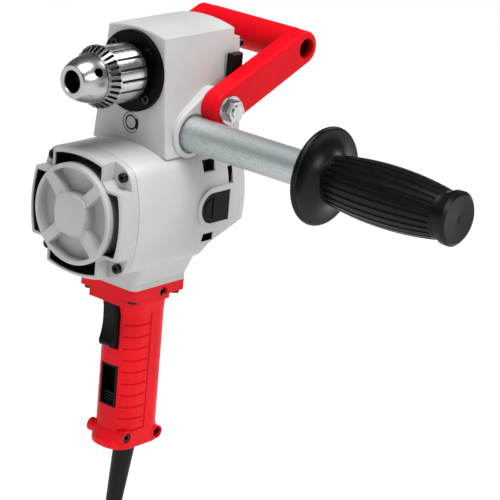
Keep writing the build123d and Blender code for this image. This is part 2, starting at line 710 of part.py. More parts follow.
# Screw places
SCREW_R = 2.0
SCREW_HEAD_R = 3.7
SCREW_HEAD = 3.0
SCREW_SOCKET = 3.0
CAP_SCREW_X = BARREL_CORNER - 4.0
CAP_SCREW_RISE = BARREL_CORNER - 5.0
CAP_SCREW_SEAT_Y = SEAM_Y - 6.0
CAP_SCREW_TIP_Y = SEAM_Y + 16.0
CAP_SCREWS = [(way * CAP_SCREW_X, MOTOR_Z + up * CAP_SCREW_RISE) for way in SIDES for up in SIDES]
COVER_SCREW_TIP_Y = REAR_Y - 8.0
COVER_SCREW_INSET = 4.0
COVER_SCREWS = [
    (way * (case_half(z) - COVER_SCREW_INSET), z) for way in SIDES for z in (SPINDLE_Z + 16, SPINDLE_Z - 28)
] + [(way * (BARREL_CORNER - COVER_SCREW_INSET), MOTOR_Z + rise) for way in SIDES for rise in (27, -9)]
RETAINER_SCREW_TIP_Y = FACE_Y + 9.0
RETAINER_SCREWS = [
    (
        RETAINER_SCREW_PCR * math.cos(math.radians(angle)),
        SPINDLE_Z + RETAINER_SCREW_PCR * math.sin(math.radians(angle)),
    )
    for angle in (45, 135, 225, 315)
]
FLANGE_SCREW_INSET = 6.0
FLANGE_SCREW_BITE = 12.0
FLANGE_SCREWS = [
    (way * (NECK_SIDE / 2 - FLANGE_SCREW_INSET), NECK_Y + back * (NECK_SIDE / 2 - FLANGE_SCREW_INSET))
    for way in SIDES
    for back in SIDES
]


def add_screw_y(x, z, seat_y, tip_y):
    """Socket screw along Y: its head stands on the seat, its shank runs to the tip."""
    way = math.copysign(1, tip_y - seat_y)
    head_y = seat_y - way * SCREW_HEAD
    rod_y(SCREW_R, min(seat_y, tip_y), max(seat_y, tip_y), x, z)
    rod_y(SCREW_HEAD_R, min(seat_y, head_y), max(seat_y, head_y), x, z)
    with BuildSketch(front(head_y)) as socket:
        with Locations((x, z)):
            RegularPolygon(SCREW_SOCKET / 2, 6, major_radius=False)
    extrude(socket.sketch, amount=-way * SCREW_HEAD * 0.6, mode=Mode.SUBTRACT)


def brush_outline(grow):
    """Round-nosed outline of a brush insert on a side plane, square to the rear, grown by an amount."""
    with BuildSketch() as outline:
        with Locations((BRUSH_Y, MOTOR_Z)):
            Circle(BRUSH_POCKET_R + grow)
        with Locations((BRUSH_Y + (BRUSH_POCKET_LENGTH + grow) / 2, MOTOR_Z)):
            Rectangle(BRUSH_POCKET_LENGTH + grow, 2 * (BRUSH_POCKET_R + grow))
    return outline.sketch


# Boss on the side wall that carries the pipe socket and the pad of the bail handle
BOSS_EDGE = 2.0
with BuildPart() as side_boss:
    with BuildSketch(side(0)):
        with Locations((PIPE_Y, PIPE_Z)):
            Circle(SOCKET_BOSS_R)
        with Locations((BAIL_Y, BAIL_Z)):
            Circle(BAIL_PAD_R)
        make_hull()
    extrude(amount=SOCKET_FACE_X)
    fillet(side_boss.faces().sort_by(Axis.X)[-1].edges(), BOSS_EDGE)

with BuildPart() as main_housing:
    with BuildSketch(front(FACE_Y)):
        with BuildLine():
            crown = ThreePointArc(
                (-CASE_TOP_HALF, SPINDLE_Z + CASE_SHOULDER),
                (0, SPINDLE_Z + CASE_CROWN),
                (CASE_TOP_HALF, SPINDLE_Z + CASE_SHOULDER),
            )
            Polyline(
                crown @ 1, (CASE_LOW_HALF, SPINDLE_Z - CASE_LOW), (-CASE_LOW_HALF, SPINDLE_Z - CASE_LOW), crown @ 0
            )
        make_face()
    extrude(amount=-CASE_DEPTH)
    fillet(main_housing.edges().group_by(Axis.Y)[0], CASE_EDGE)
    with BuildSketch(front(SEAM_Y)):
        with Locations((0, MOTOR_Z)):
            add(crowned_square(BARREL_HALF, BARREL_CORNER, BARREL_FILLET))
    extrude(amount=-(REAR_Y - SEAM_Y))
    with BuildSketch(side(-CUT_SPAN / 2)) as slope:
        with BuildLine():
            Polyline(
                (NECK_BACK_Y, BARREL_LOW_Z - 5),
                (NECK_BACK_Y, SLOPE_Z + SLOPE_RISE * (NECK_BACK_Y - SLOPE_Y)),
                (COVER_Y, SLOPE_Z + SLOPE_RISE * (COVER_Y - SLOPE_Y)),
                (COVER_Y, BARREL_LOW_Z - 5),
                close=True,
            )
        make_face()
        fillet(slope.vertices().group_by(Axis.X)[0].sort_by(Axis.Y)[-1], SLOPE_FILLET)
    extrude(amount=CUT_SPAN, mode=Mode.SUBTRACT)
    with BuildSketch(Plane.XY.offset(NECK_Z)):
        with Locations((0, NECK_Y)):
            RectangleRounded(NECK_SIDE, NECK_SIDE, NECK_CORNER)
    extrude(amount=MOTOR_Z - NECK_Z)
    with BuildSketch(Plane.XY.offset(NECK_Z + SKIRT_START)):
        with Locations((0, NECK_Y)):
            RectangleRounded(NECK_SIDE, NECK_SIDE, NECK_CORNER)
    with BuildSketch(Plane.XY.offset(NECK_Z + SKIRT_START + SKIRT_RISE)):
        with Locations((0, NECK_Y)):
            RectangleRounded(NECK_SIDE + 2 * SKIRT_SPREAD, NECK_SIDE, NECK_CORNER)
    loft()
    add(side_boss.part)
    add(side_boss.part.mirror(Plane.YZ))
    for way in SIDES:
        rod_x(BAIL_PAD_R, 0, way * (BAIL_INNER_X - BAIL_SEAT_GAP), BAIL_Y, BAIL_Z)
    for way in SIDES:
        with BuildSketch(side(way * (BARREL_HALF - 8))):
            add(brush_outline(SURROUND_WIDTH))
        extrude(amount=way * (8 + SURROUND_RISE))
    with BuildSketch(side(-CUT_SPAN / 2)):
        with Locations((REAR_Y + 20, MOTOR_Z)):
            Rectangle(40, 2 * CUT_SPAN)
    extrude(amount=CUT_SPAN, mode=Mode.SUBTRACT)
    rod_y(MOTOR_BORE_R, SEAM_Y, MOTOR_BORE_END_Y, 0, MOTOR_Z, Mode.SUBTRACT)
    rod_y(
        COMMUTATOR_R + COMMUTATOR_ROOM, MOTOR_BORE_END_Y, MOTOR_REAR_BEARING_Y - 1, 0, MOTOR_Z, Mode.SUBTRACT
    )
    rod_y(MOTOR_BEARING_R, MOTOR_REAR_BEARING_Y - 1, STAGE1_Y - SIDE_PLAY, 0, MOTOR_Z, Mode.SUBTRACT)
    rod_y(JACK_ROOM_R, STAGE1_Y - SIDE_PLAY - 1, REAR_Y, 0, JACK_Z, Mode.SUBTRACT)
    rod_y(JACK_TUNNEL_R, COUNTER_ROOM_Y, REAR_Y, 0, JACK_Z, Mode.SUBTRACT)
    rod_y(JACK_BEARING_R, JACK_FRONT_Y, COUNTER_ROOM_Y, 0, JACK_Z, Mode.SUBTRACT)
    rod_y(
        gear_reach(MOTOR_PINION_TEETH, MOTOR_MODULE) + GEAR_ROOM, STAGE1_Y - SIDE_PLAY - 1, REAR_Y, 0, MOTOR_Z,
        Mode.SUBTRACT,
    )
    rod_y(COUNTER_ROOM_R, COUNTER_ROOM_Y, REAR_Y, 0, COUNTER_Z, Mode.SUBTRACT)
    rod_y(COUNTER_FRONT_ROOM_R, CHAMBER_FRONT_Y, COUNTER_ROOM_Y, 0, COUNTER_Z, Mode.SUBTRACT)
    rod_y(COUNTER_BEARING_R, COUNTER_FRONT_Y, CHAMBER_FRONT_Y, 0, COUNTER_Z, Mode.SUBTRACT)
    rod_y(PLUG_R, FACE_Y, COUNTER_FRONT_Y, 0, COUNTER_Z, Mode.SUBTRACT)
    rod_y(SPINDLE_ROOM_R, CHAMBER_FRONT_Y, REAR_Y, 0, SPINDLE_Z, Mode.SUBTRACT)
    rod_y(FRONT_BEARING_R, FACE_Y, FRONT_BEARING_END_Y, 0, SPINDLE_Z, Mode.SUBTRACT)
    rod_y(FRONT_BEARING_R - 3, FRONT_BEARING_END_Y, CHAMBER_FRONT_Y, 0, SPINDLE_Z, Mode.SUBTRACT)
    for way in SIDES:
        rod_x(SOCKET_R, way * SOCKET_FLOOR_X, way * SOCKET_FACE_X, PIPE_Y, PIPE_Z, Mode.SUBTRACT)
        rod_x(
            SOCKET_MOUTH_R, way * (SOCKET_FACE_X - SOCKET_MOUTH_DEPTH), way * SOCKET_FACE_X, PIPE_Y, PIPE_Z,
            Mode.SUBTRACT,
        )
        rod_x(BAIL_BOLT_R, way * BAIL_BOLT_TIP_X, way * BAIL_INNER_X, BAIL_Y, BAIL_Z, Mode.SUBTRACT)
        with BuildSketch(side(way * (BARREL_HALF - BRUSH_INSERT_DEPTH))):
            add(brush_outline(0))
        extrude(amount=way * (BRUSH_INSERT_DEPTH + SURROUND_RISE), mode=Mode.SUBTRACT)
        rod_x(BRUSH_TUBE_R, 0, way * BARREL_HALF, BRUSH_Y, MOTOR_Z, Mode.SUBTRACT)
        for slot_y, slot_rise, slot_length, slot_height in VENT_SLOTS:
            with BuildSketch(side(way * (BARREL_CORNER - VENT_DEPTH))):
                with Locations((slot_y, MOTOR_Z + slot_rise)):
                    Rectangle(slot_length, slot_height)
            extrude(amount=way * (BARREL_HALF - BARREL_CORNER + VENT_DEPTH), mode=Mode.SUBTRACT)
    rod_x(LEVER_SHAFT_R, CRANK_X, case_half(LEVER_Z) + 5, LEVER_Y, LEVER_Z, Mode.SUBTRACT)
    rod_x(CRANK_HUB_R + CRANK_ROOM, 0, CRANK_X + CRANK_THICK + CRANK_ROOM, LEVER_Y, LEVER_Z, Mode.SUBTRACT)
    with BuildSketch(Plane.XY.offset(NECK_Z)):
        with Locations((0, NECK_Y)):
            RectangleRounded(NECK_PASSAGE, NECK_PASSAGE, NECK_CORNER / 2)
    extrude(amount=MOTOR_Z - MOTOR_BORE_R - NECK_Z + 5, mode=Mode.SUBTRACT)
    for x, z in CAP_SCREWS:
        rod_y(SCREW_R + SCREW_FIT, SEAM_Y, CAP_SCREW_TIP_Y, x, z, Mode.SUBTRACT)
    for x, z in COVER_SCREWS:
        rod_y(SCREW_R + SCREW_FIT, COVER_SCREW_TIP_Y, REAR_Y, x, z, Mode.SUBTRACT)
    for x, z in RETAINER_SCREWS:
        rod_y(SCREW_R + SCREW_FIT, FACE_Y, RETAINER_SCREW_TIP_Y, x, z, Mode.SUBTRACT)
    for x, y in FLANGE_SCREWS:
        with Locations((x, y, NECK_Z + FLANGE_SCREW_BITE / 2)):
            Cylinder(SCREW_R + SCREW_FIT, FLANGE_SCREW_BITE, mode=Mode.SUBTRACT)
save(main_housing.part, "main_housing")

# Rear gear cover, with the bearing pad over the spindle and the countershaft
COVER_EDGE = 2.5
SPIGOT_Y = REAR_Y - 3.5
with BuildPart() as gear_cover:
    with BuildSketch(front(REAR_Y)):
        with BuildLine():
            Polyline(
                (case_half(SPINDLE_Z + CASE_SHOULDER - COVER_STEP), SPINDLE_Z + CASE_SHOULDER - COVER_STEP),
                (CASE_LOW_HALF, SPINDLE_Z - CASE_LOW),
                (-CASE_LOW_HALF, SPINDLE_Z - CASE_LOW),
                (-case_half(SPINDLE_Z + CASE_SHOULDER - COVER_STEP), SPINDLE_Z + CASE_SHOULDER - COVER_STEP),
                close=True,
            )
        make_face()
        with Locations((0, MOTOR_Z)):
            add(crowned_square(BARREL_HALF, BARREL_CORNER, BARREL_FILLET))
    extrude(amount=-(COVER_Y - REAR_Y))
    with BuildSketch(side(-CUT_SPAN / 2)):
        with BuildLine():
            Polyline(
                (REAR_Y, BARREL_LOW_Z - 5),
                (REAR_Y, SLOPE_Z + SLOPE_RISE * (REAR_Y - SLOPE_Y)),
                (COVER_Y, SLOPE_Z + SLOPE_RISE * (COVER_Y - SLOPE_Y)),
                (COVER_Y, BARREL_LOW_Z - 5),
                close=True,
            )
        make_face()
    extrude(amount=CUT_SPAN, mode=Mode.SUBTRACT)
    fillet(gear_cover.edges().group_by(Axis.Y)[-1], COVER_EDGE)
    with BuildSketch(front(COVER_Y)):
        with Locations((0, SPINDLE_Z), (0, COUNTER_Z)):
            Circle(COVER_PAD_R)
        make_hull()
    extrude(amount=-COVER_PAD)
    fillet(gear_cover.edges().group_by(Axis.Y)[-1], COVER_EDGE)
    rod_y(SPINDLE_ROOM_R - SEAT_GAP, SPIGOT_Y, REAR_Y, 0, SPINDLE_Z)
    rod_y(gear_reach(HIGH_GEAR_TEETH, LOW_MODULE) + GEAR_ROOM, SPIGOT_Y, COVER_FLOOR_Y, 0, SPINDLE_Z, Mode.SUBTRACT)
    rod_y(gear_reach(HIGH_DRIVE_TEETH, LOW_MODULE) + GEAR_ROOM, SPIGOT_Y, COVER_FLOOR_Y, 0, COUNTER_Z, Mode.SUBTRACT)
    rod_y(REAR_BEARING_R, COVER_FLOOR_Y, REAR_BEARING_Y + REAR_BEARING_WIDTH, 0, SPINDLE_Z, Mode.SUBTRACT)
    rod_y(COUNTER_BEARING_R, COVER_FLOOR_Y, REAR_BEARING_Y + COUNTER_BEARING_WIDTH, 0, COUNTER_Z, Mode.SUBTRACT)
    rod_y(JACK_BEARING_R, REAR_Y, JACK_REAR_Y + JACK_BEARING_WIDTH, 0, JACK_Z, Mode.SUBTRACT)
    for x, z in COVER_SCREWS:
        rod_y(SCREW_R + SCREW_FIT, SPIGOT_Y, COVER_Y, x, z, Mode.SUBTRACT)
save(gear_cover.part, "gear_cover")

with BuildPart() as gear_cover_screws:
    for x, z in COVER_SCREWS:
        add_screw_y(x, z, COVER_Y, COVER_SCREW_TIP_Y)
save(gear_cover_screws.part, "gear_cover_screws")

# Motor end cap: rim with four open corners, raised grille ring with four spokes, and four vents between
CAP_DISC_R = BARREL_CORNER - 1.5
CAP_POCKET_R = CAP_DISC_R - 3.5
CAP_POCKET_DEPTH = 9.0
CAP_BOSS_SIDE = 31.0
CAP_BOSS_CORNER = 13.0
CAP_BOSS_ROUND = 5.0
CAP_BOSS_RISE = 2.0
CAP_SPOKE = 8.5
CAP_ROOM_R = FAN_R + 1.5
CAP_ROOM_Y = SEAM_Y - 6.0
CAP_WALL = 3.2
CAP_NOTCH = CAP_DISC_R - 12.5
CAP_NOTCH_CORNER = 5.0
CAP_VENT_LENGTH = 2 * (CAP_NOTCH - 2.0)
CAP_EDGE = 3.0
CAP_DISC_EDGE = 1.6
with BuildPart() as motor_end_cap:
    with BuildSketch(front(SEAM_Y)):
        with Locations((0, MOTOR_Z)):
            add(crowned_square(BARREL_HALF, BARREL_CORNER, BARREL_FILLET))
    extrude(amount=SEAM_Y - CAP_RIM_Y)
    fillet(motor_end_cap.edges().group_by(Axis.Y)[0], CAP_EDGE)
    rod_y(CAP_DISC_R, CAP_FACE_Y, CAP_RIM_Y, 0, MOTOR_Z)
    fillet(motor_end_cap.edges().group_by(Axis.Y)[0], CAP_DISC_EDGE)
    with BuildSketch(front(CAP_FACE_Y)):
        with Locations((0, MOTOR_Z)):
            Circle(CAP_POCKET_R)
            add(crowned_square(CAP_BOSS_SIDE / 2, CAP_BOSS_CORNER, CAP_BOSS_ROUND), mode=Mode.SUBTRACT)
            Rectangle(2 * CAP_POCKET_R, CAP_SPOKE, rotation=45, mode=Mode.SUBTRACT)
            Rectangle(2 * CAP_POCKET_R, CAP_SPOKE, rotation=-45, mode=Mode.SUBTRACT)
    extrude(amount=-CAP_POCKET_DEPTH, mode=Mode.SUBTRACT)
    with BuildSketch(front(CAP_FACE_Y)):
        with Locations((0, MOTOR_Z)):
            add(crowned_square(CAP_BOSS_SIDE / 2, CAP_BOSS_CORNER, CAP_BOSS_ROUND))
    extrude(amount=CAP_BOSS_RISE)
    rod_y(CAP_ROOM_R, CAP_ROOM_Y, SEAM_Y, 0, MOTOR_Z, Mode.SUBTRACT)
    with BuildSketch(front(CAP_FACE_Y)):
        with Locations((0, MOTOR_Z)):
            Rectangle(CAP_VENT_LENGTH, 2 * BARREL_HALF)
            Rectangle(2 * BARREL_HALF, CAP_VENT_LENGTH)
            add(
                crowned_square(BARREL_HALF - CAP_WALL, BARREL_CORNER - CAP_WALL, BARREL_FILLET - CAP_WALL),
                mode=Mode.INTERSECT,
            )
            Circle(CAP_DISC_R, mode=Mode.SUBTRACT)
    extrude(amount=-(SEAM_Y - CAP_FACE_Y), mode=Mode.SUBTRACT)
    rod_y(MOTOR_BEARING_R, MOTOR_FRONT_BEARING_Y, CAP_ROOM_Y, 0, MOTOR_Z, Mode.SUBTRACT)
    for way in SIDES:
        for up in SIDES:
            with BuildSketch(front(CAP_FACE_Y)):
                with BuildLine():
                    Polyline(
                        (way * CAP_NOTCH, MOTOR_Z + up * (CAP_NOTCH + CAP_NOTCH_CORNER)),
                        (way * (CAP_NOTCH + CAP_NOTCH_CORNER), MOTOR_Z + up * CAP_NOTCH),
                        (way * BARREL_HALF, MOTOR_Z + up * CAP_NOTCH),
                        (way * BARREL_HALF, MOTOR_Z + up * BARREL_HALF),
                        (way * CAP_NOTCH, MOTOR_Z + up * BARREL_HALF),
                        close=True,
                    )
                make_face()
            extrude(amount=-(CAP_SCREW_SEAT_Y - CAP_FACE_Y), mode=Mode.SUBTRACT)
    for x, z in CAP_SCREWS:
        rod_y(SCREW_R + SCREW_FIT, CAP_SCREW_SEAT_Y, SEAM_Y, x, z, Mode.SUBTRACT)
save(motor_end_cap.part, "motor_end_cap")

with BuildPart() as end_cap_screws:
    for x, z in CAP_SCREWS:
        add_screw_y(x, z, CAP_SCREW_SEAT_Y, CAP_SCREW_TIP_Y)
save(end_cap_screws.part, "end_cap_screws")

# Spindle bearing retainer
RETAINER_EDGE = 0.8
RETAINER_SUNK = 2.2
with BuildPart() as bearing_retainer:
    rod_y(RETAINER_R, FACE_Y - RETAINER_THICK, FACE_Y, 0, SPINDLE_Z)
    chamfer(bearing_retainer.edges().group_by(Axis.Y)[0], RETAINER_EDGE)
    rod_y(RETAINER_BORE_R, FACE_Y - RETAINER_THICK, FACE_Y, 0, SPINDLE_Z, Mode.SUBTRACT)
    for x, z in RETAINER_SCREWS:
        rod_y(SCREW_HEAD_R + SCREW_FIT, FACE_Y - RETAINER_THICK, FACE_Y - RETAINER_SUNK, x, z, Mode.SUBTRACT)
        rod_y(SCREW_R + SCREW_FIT, FACE_Y - RETAINER_THICK, FACE_Y, x, z, Mode.SUBTRACT)
save(bearing_retainer.part, "bearing_retainer")

with BuildPart() as retainer_screws:
    for x, z in RETAINER_SCREWS:
        add_screw_y(x, z, FACE_Y - RETAINER_SUNK, RETAINER_SCREW_TIP_Y)
save(retainer_screws.part, "retainer_screws")

# Brush inserts with their tubes, caps and carbon brushes
INSERT_GAP = 0.15
INSERT_RISE = 0.6
INSERT_INNER_X = BARREL_HALF - BRUSH_INSERT_DEPTH + SEAT_GAP
BRUSH_TUBE_INNER_X = COMMUTATOR_R + 2.0
BRUSH_BORE_R = BRUSH_SIDE / math.sqrt(2) + SLIDE_FIT
CAP_SEAT_X = BARREL_HALF - 2.5
CAP_STUB_X = BARREL_HALF - 8.0
CAP_RISE = 1.0
CAP_SLOT = 1.6
BRUSH_AIR = 0.02
with BuildPart() as brush_holders:
    for way in SIDES:
        with BuildSketch(side(way * INSERT_INNER_X)):
            add(brush_outline(-INSERT_GAP))
        extrude(amount=way * (BARREL_HALF + INSERT_RISE - INSERT_INNER_X))
        rod_x(BRUSH_TUBE_R - SEAT_GAP, way * BRUSH_TUBE_INNER_X, way * CAP_SEAT_X, BRUSH_Y, MOTOR_Z)
        rod_x(BRUSH_BORE_R, way * BRUSH_TUBE_INNER_X, way * BARREL_HALF, BRUSH_Y, MOTOR_Z, Mode.SUBTRACT)
        rod_x(
            BRUSH_CAP_R + SCREW_FIT, way * CAP_SEAT_X, way * (BARREL_HALF + INSERT_RISE), BRUSH_Y, MOTOR_Z,
            Mode.SUBTRACT,
        )
save(brush_holders.part, "brush_holders")

with BuildPart() as brush_caps:
    for way in SIDES:
        rod_x(BRUSH_CAP_R, way * CAP_SEAT_X, way * (BARREL_HALF + CAP_RISE), BRUSH_Y, MOTOR_Z)
        rod_x(BRUSH_BORE_R - SLIDE_FIT, way * CAP_STUB_X, way * CAP_SEAT_X, BRUSH_Y, MOTOR_Z)
        with Locations((way * (BARREL_HALF + CAP_RISE), BRUSH_Y, MOTOR_Z)):
            Box(2 * CAP_SLOT, CAP_SLOT, 2 * BRUSH_CAP_R, mode=Mode.SUBTRACT)
save(brush_caps.part, "brush_caps")

with BuildPart() as carbon_brushes:
    for way in SIDES:
        with Locations((way * (COMMUTATOR_R + BRUSH_AIR + BRUSH_LENGTH / 2), BRUSH_Y, MOTOR_Z)):
            Box(BRUSH_LENGTH, BRUSH_SIDE, BRUSH_SIDE)
        rod_y(
            COMMUTATOR_R + BRUSH_AIR, COMMUTATOR_Y, COMMUTATOR_Y + COMMUTATOR_LENGTH, 0, MOTOR_Z, Mode.SUBTRACT
        )
save(carbon_brushes.part, "carbon_brushes")

# Keyed chuck: body, toothed sleeve and three jaws, shown fully open
SPINDLE_AXIS = Axis((0, 0, SPINDLE_Z), (0, 1, 0))
CHUCK_THREAD_END_Y = SPINDLE_NOSE_Y - 0.5
NOSE_EDGE = 0.8
JAW_TRAVEL = 21.0
JAW_SLOPE = math.tan(math.radians(JAW_TILT))
JAW_CLOSED_Y = CHUCK_NOSE_Y - 1.0
JAW_OPEN_Y = JAW_CLOSED_Y + JAW_TRAVEL * math.cos(math.radians(JAW_TILT))
JAW_SHIFT = JAW_TRAVEL * math.sin(math.radians(JAW_TILT))
JAW_ANGLES = [JAW_ANGLE + 120 * index for index in range(3)]
KEY_ANGLES = [JAW_ANGLE - 60 + 120 * index for index in range(3)]
SLEEVE_ROOM_R = 19.8
SLEEVE_ROOM_FRONT_Y = -54.4
SLEEVE_ROOM_FULL_Y = -48.2
SLEEVE_ROOM_REAR_Y = -44.0
SLEEVE_BEVEL_R = 18.4
SLEEVE_BEVEL_Y = -57.8
SLEEVE_LIP = 0.4
TOOTH_SLOT = 2.3
TOOTH_FRONT_R = CHUCK_BODY_R + 0.7
TOOTH_BACK_R = SLEEVE_RING_R - 2.8


def round_the_spindle(angle, radius, y):
    """Point at an angle and a radius round the spindle axis."""
    return (radius * math.cos(math.radians(angle)), y, SPINDLE_Z + radius * math.sin(math.radians(angle)))


def jaw_plane(angle, y):
    """Plane square to a jaw's tilted path where the path crosses y, its Z towards the tail."""
    tilt = math.radians(JAW_TILT)
    around = math.radians(angle)
    run = (math.sin(tilt) * math.cos(around), math.cos(tilt), math.sin(tilt) * math.sin(around))
    return Plane(origin=round_the_spindle(angle, JAW_TIP_RADIUS + (y - JAW_CLOSED_Y) * JAW_SLOPE, y), z_dir=run)


with BuildPart() as chuck_body:
    with BuildSketch(Plane.YZ):
        with BuildLine():
            bullet = ThreePointArc(
                (CHUCK_NOSE_Y + NOSE_EDGE, SPINDLE_Z + CHUCK_NOSE_R),
                (CHUCK_BULGE_Y, SPINDLE_Z + CHUCK_BULGE_R),
                (SLEEVE_FRONT_Y - SLEEVE_LIP, SPINDLE_Z + CHUCK_SHOULDER_R),
            )
            Polyline(
                bullet @ 1,
                (SLEEVE_FRONT_Y - SLEEVE_LIP, SPINDLE_Z + CHUCK_BODY_R),
                (CHUCK_REAR_Y, SPINDLE_Z + CHUCK_BODY_R),
                (CHUCK_REAR_Y, SPINDLE_Z + SPINDLE_THREAD_R + SEAT_GAP),
                (CHUCK_THREAD_END_Y, SPINDLE_Z + SPINDLE_THREAD_R + SEAT_GAP),
                (CHUCK_THREAD_END_Y, SPINDLE_Z + CHUCK_BORE_R),
                (CHUCK_NOSE_Y + CHUCK_MOUTH_DEPTH, SPINDLE_Z + CHUCK_BORE_R),
                (CHUCK_NOSE_Y, SPINDLE_Z + CHUCK_MOUTH_R),
                (CHUCK_NOSE_Y, SPINDLE_Z + CHUCK_NOSE_R - NOSE_EDGE),
                bullet @ 0,
            )
        make_face()
    revolve(axis=SPINDLE_AXIS)
    for angle in JAW_ANGLES:
        with Locations(jaw_plane(angle, CHUCK_NOSE_Y - 4)):
            Cylinder(
                JAW_R + SLIDE_FIT, 60, align=(Align.CENTER, Align.CENTER, Align.MIN), mode=Mode.SUBTRACT
            )
    for angle in KEY_ANGLES:
        hole_y = SLEEVE_FRONT_Y - KEY_HOLE_SETBACK
        outward = round_the_spindle(angle, 1, 0)
        hole_plane = Plane(
            origin=round_the_spindle(angle, CHUCK_BODY_R - KEY_HOLE_DEPTH, hole_y),
            z_dir=(outward[0], 0, outward[2] - SPINDLE_Z),
        )
        with Locations(hole_plane):
            Cylinder(KEY_HOLE_R, 2 * KEY_HOLE_DEPTH, align=(Align.CENTER, Align.CENTER, Align.MIN), mode=Mode.SUBTRACT)
save(chuck_body.part, "chuck_body")

with BuildPart() as tooth_slot:
    with BuildSketch(side(-TOOTH_SLOT / 2)):
        with BuildLine():
            Polyline(
                (SLEEVE_FRONT_Y - 1, SPINDLE_Z + TOOTH_FRONT_R),
                (SLEEVE_RING_Y - SLEEVE_LIP, SPINDLE_Z + TOOTH_BACK_R),
                (SLEEVE_RING_Y - SLEEVE_LIP, SPINDLE_Z + SLEEVE_RING_R + 1),
                (SLEEVE_FRONT_Y - 1, SPINDLE_Z + SLEEVE_RING_R + 1),
                close=True,
            )
        make_face()
    extrude(amount=TOOTH_SLOT)

with BuildPart() as chuck_sleeve:
    with BuildSketch(Plane.YZ):
        with BuildLine():
            Polyline(
                (SLEEVE_FRONT_Y, SPINDLE_Z + CHUCK_BODY_R + RUN_FIT),
                (SLEEVE_FRONT_Y, SPINDLE_Z + SLEEVE_BEVEL_R),
                (SLEEVE_BEVEL_Y, SPINDLE_Z + SLEEVE_RING_R),
                (SLEEVE_RING_Y, SPINDLE_Z + SLEEVE_RING_R),
                (SLEEVE_RING_Y, SPINDLE_Z + SLEEVE_R - 0.6),
                (SLEEVE_RING_Y + 1.2, SPINDLE_Z + SLEEVE_R - 0.6),
                (SLEEVE_RING_Y + 1.2, SPINDLE_Z + SLEEVE_R),
                (SLEEVE_REAR_Y - 1.2, SPINDLE_Z + SLEEVE_R),
                (SLEEVE_REAR_Y, SPINDLE_Z + SLEEVE_R - 1.2),
                (SLEEVE_REAR_Y, SPINDLE_Z + CHUCK_BODY_R + RUN_FIT),
                (SLEEVE_ROOM_REAR_Y, SPINDLE_Z + CHUCK_BODY_R + RUN_FIT),
                (SLEEVE_ROOM_REAR_Y, SPINDLE_Z + SLEEVE_ROOM_R),
                (SLEEVE_ROOM_FULL_Y, SPINDLE_Z + SLEEVE_ROOM_R),
                (SLEEVE_ROOM_FRONT_Y, SPINDLE_Z + CHUCK_BODY_R + RUN_FIT),
                close=True,
            )
        make_face()
    revolve(axis=SPINDLE_AXIS)
    for index in range(SLEEVE_TEETH):
        add(tooth_slot.part.rotate(SPINDLE_AXIS, 360 * index / SLEEVE_TEETH), mode=Mode.SUBTRACT)
    with BuildSketch(front(SLEEVE_REAR_Y)):
        with Locations((0, SPINDLE_Z)):
            with PolarLocations(SLEEVE_R, SLEEVE_FLUTES):
                Circle(FLUTE_R)
    extrude(amount=SLEEVE_REAR_Y - SLEEVE_RING_Y - 1.2, mode=Mode.SUBTRACT)
save(chuck_sleeve.part, "chuck_sleeve")


def chuck_jaw(angle):
    """Jaw in its open place: a tilted rod with a flat grip and two flanks that meet its neighbours."""
    apex = JAW_SHIFT + JAW_WEDGE_GAP
    grip = JAW_SHIFT + JAW_GRIP_R
    reach = grip + 20
    with BuildPart() as jaw:
        with Locations(jaw_plane(angle, JAW_OPEN_Y)):
            Cylinder(JAW_R, JAW_LENGTH, align=(Align.CENTER, Align.CENTER, Align.MIN))
        outward = round_the_spindle(angle, 1, 0)
        across = Plane(
            origin=(0, JAW_OPEN_Y - 3, SPINDLE_Z), x_dir=(outward[0], 0, outward[2] - SPINDLE_Z), z_dir=(0, 1, 0)
        )
        with BuildSketch(across):
            with BuildLine():
                Polyline(
                    (grip, (grip - apex) * math.sqrt(3)),
                    (reach, (reach - apex) * math.sqrt(3)),
                    (reach, -(reach - apex) * math.sqrt(3)),
                    (grip, -(grip - apex) * math.sqrt(3)),
                    close=True,
                )
            make_face()
        extrude(amount=JAW_LENGTH + 8, mode=Mode.INTERSECT)
    return jaw.part


for index, angle in enumerate(JAW_ANGLES):
    save(chuck_jaw(angle), f"jaw_{index + 1}")

# Shift lever on the right wall and the crank it turns inside
LEVER_INNER_X = case_half(LEVER_Z - LEVER_WIDTH / 2) + 0.6
LEVER_EDGE = 1.0
CRANK_SHAFT_FIT = 0.02
CRANK_PIN_X = COLLAR_GROOVE_R + 0.5
with BuildPart() as shift_lever:
    with BuildSketch(side(LEVER_INNER_X)):
        with Locations((LEVER_Y, LEVER_Z)):
            Circle(LEVER_WIDTH / 2)
        with Locations((LEVER_Y + LEVER_TAB_SHIFT, (LEVER_TAB_LOW_Z + LEVER_TOP_Z) / 2)):
            RectangleRounded(LEVER_TAB_WIDTH, LEVER_TOP_Z - LEVER_TAB_LOW_Z, LEVER_EDGE)
    extrude(amount=LEVER_THICK)
    chamfer(shift_lever.faces().sort_by(Axis.X)[-1].edges(), LEVER_EDGE)
    rod_x(LEVER_SHAFT_R - RUN_FIT, CRANK_X, LEVER_INNER_X, LEVER_Y, LEVER_Z)
save(shift_lever.part, "shift_lever")

with BuildPart() as shift_crank:
    with BuildSketch(side(CRANK_X)):
        with Locations((LEVER_Y, LEVER_Z)):
            Circle(CRANK_HUB_R)
        with Locations((LEVER_Y, SPINDLE_Z)):
            Circle(CRANK_ARM / 2)
        make_hull()
    extrude(amount=CRANK_THICK)
    rod_x(
        LEVER_SHAFT_R - RUN_FIT + CRANK_SHAFT_FIT, CRANK_X, CRANK_X + CRANK_THICK, LEVER_Y, LEVER_Z, Mode.SUBTRACT
    )
    rod_x(CRANK_PIN_R, CRANK_PIN_X, CRANK_X, LEVER_Y, SPINDLE_Z)
save(shift_crank.part, "shift_crank")

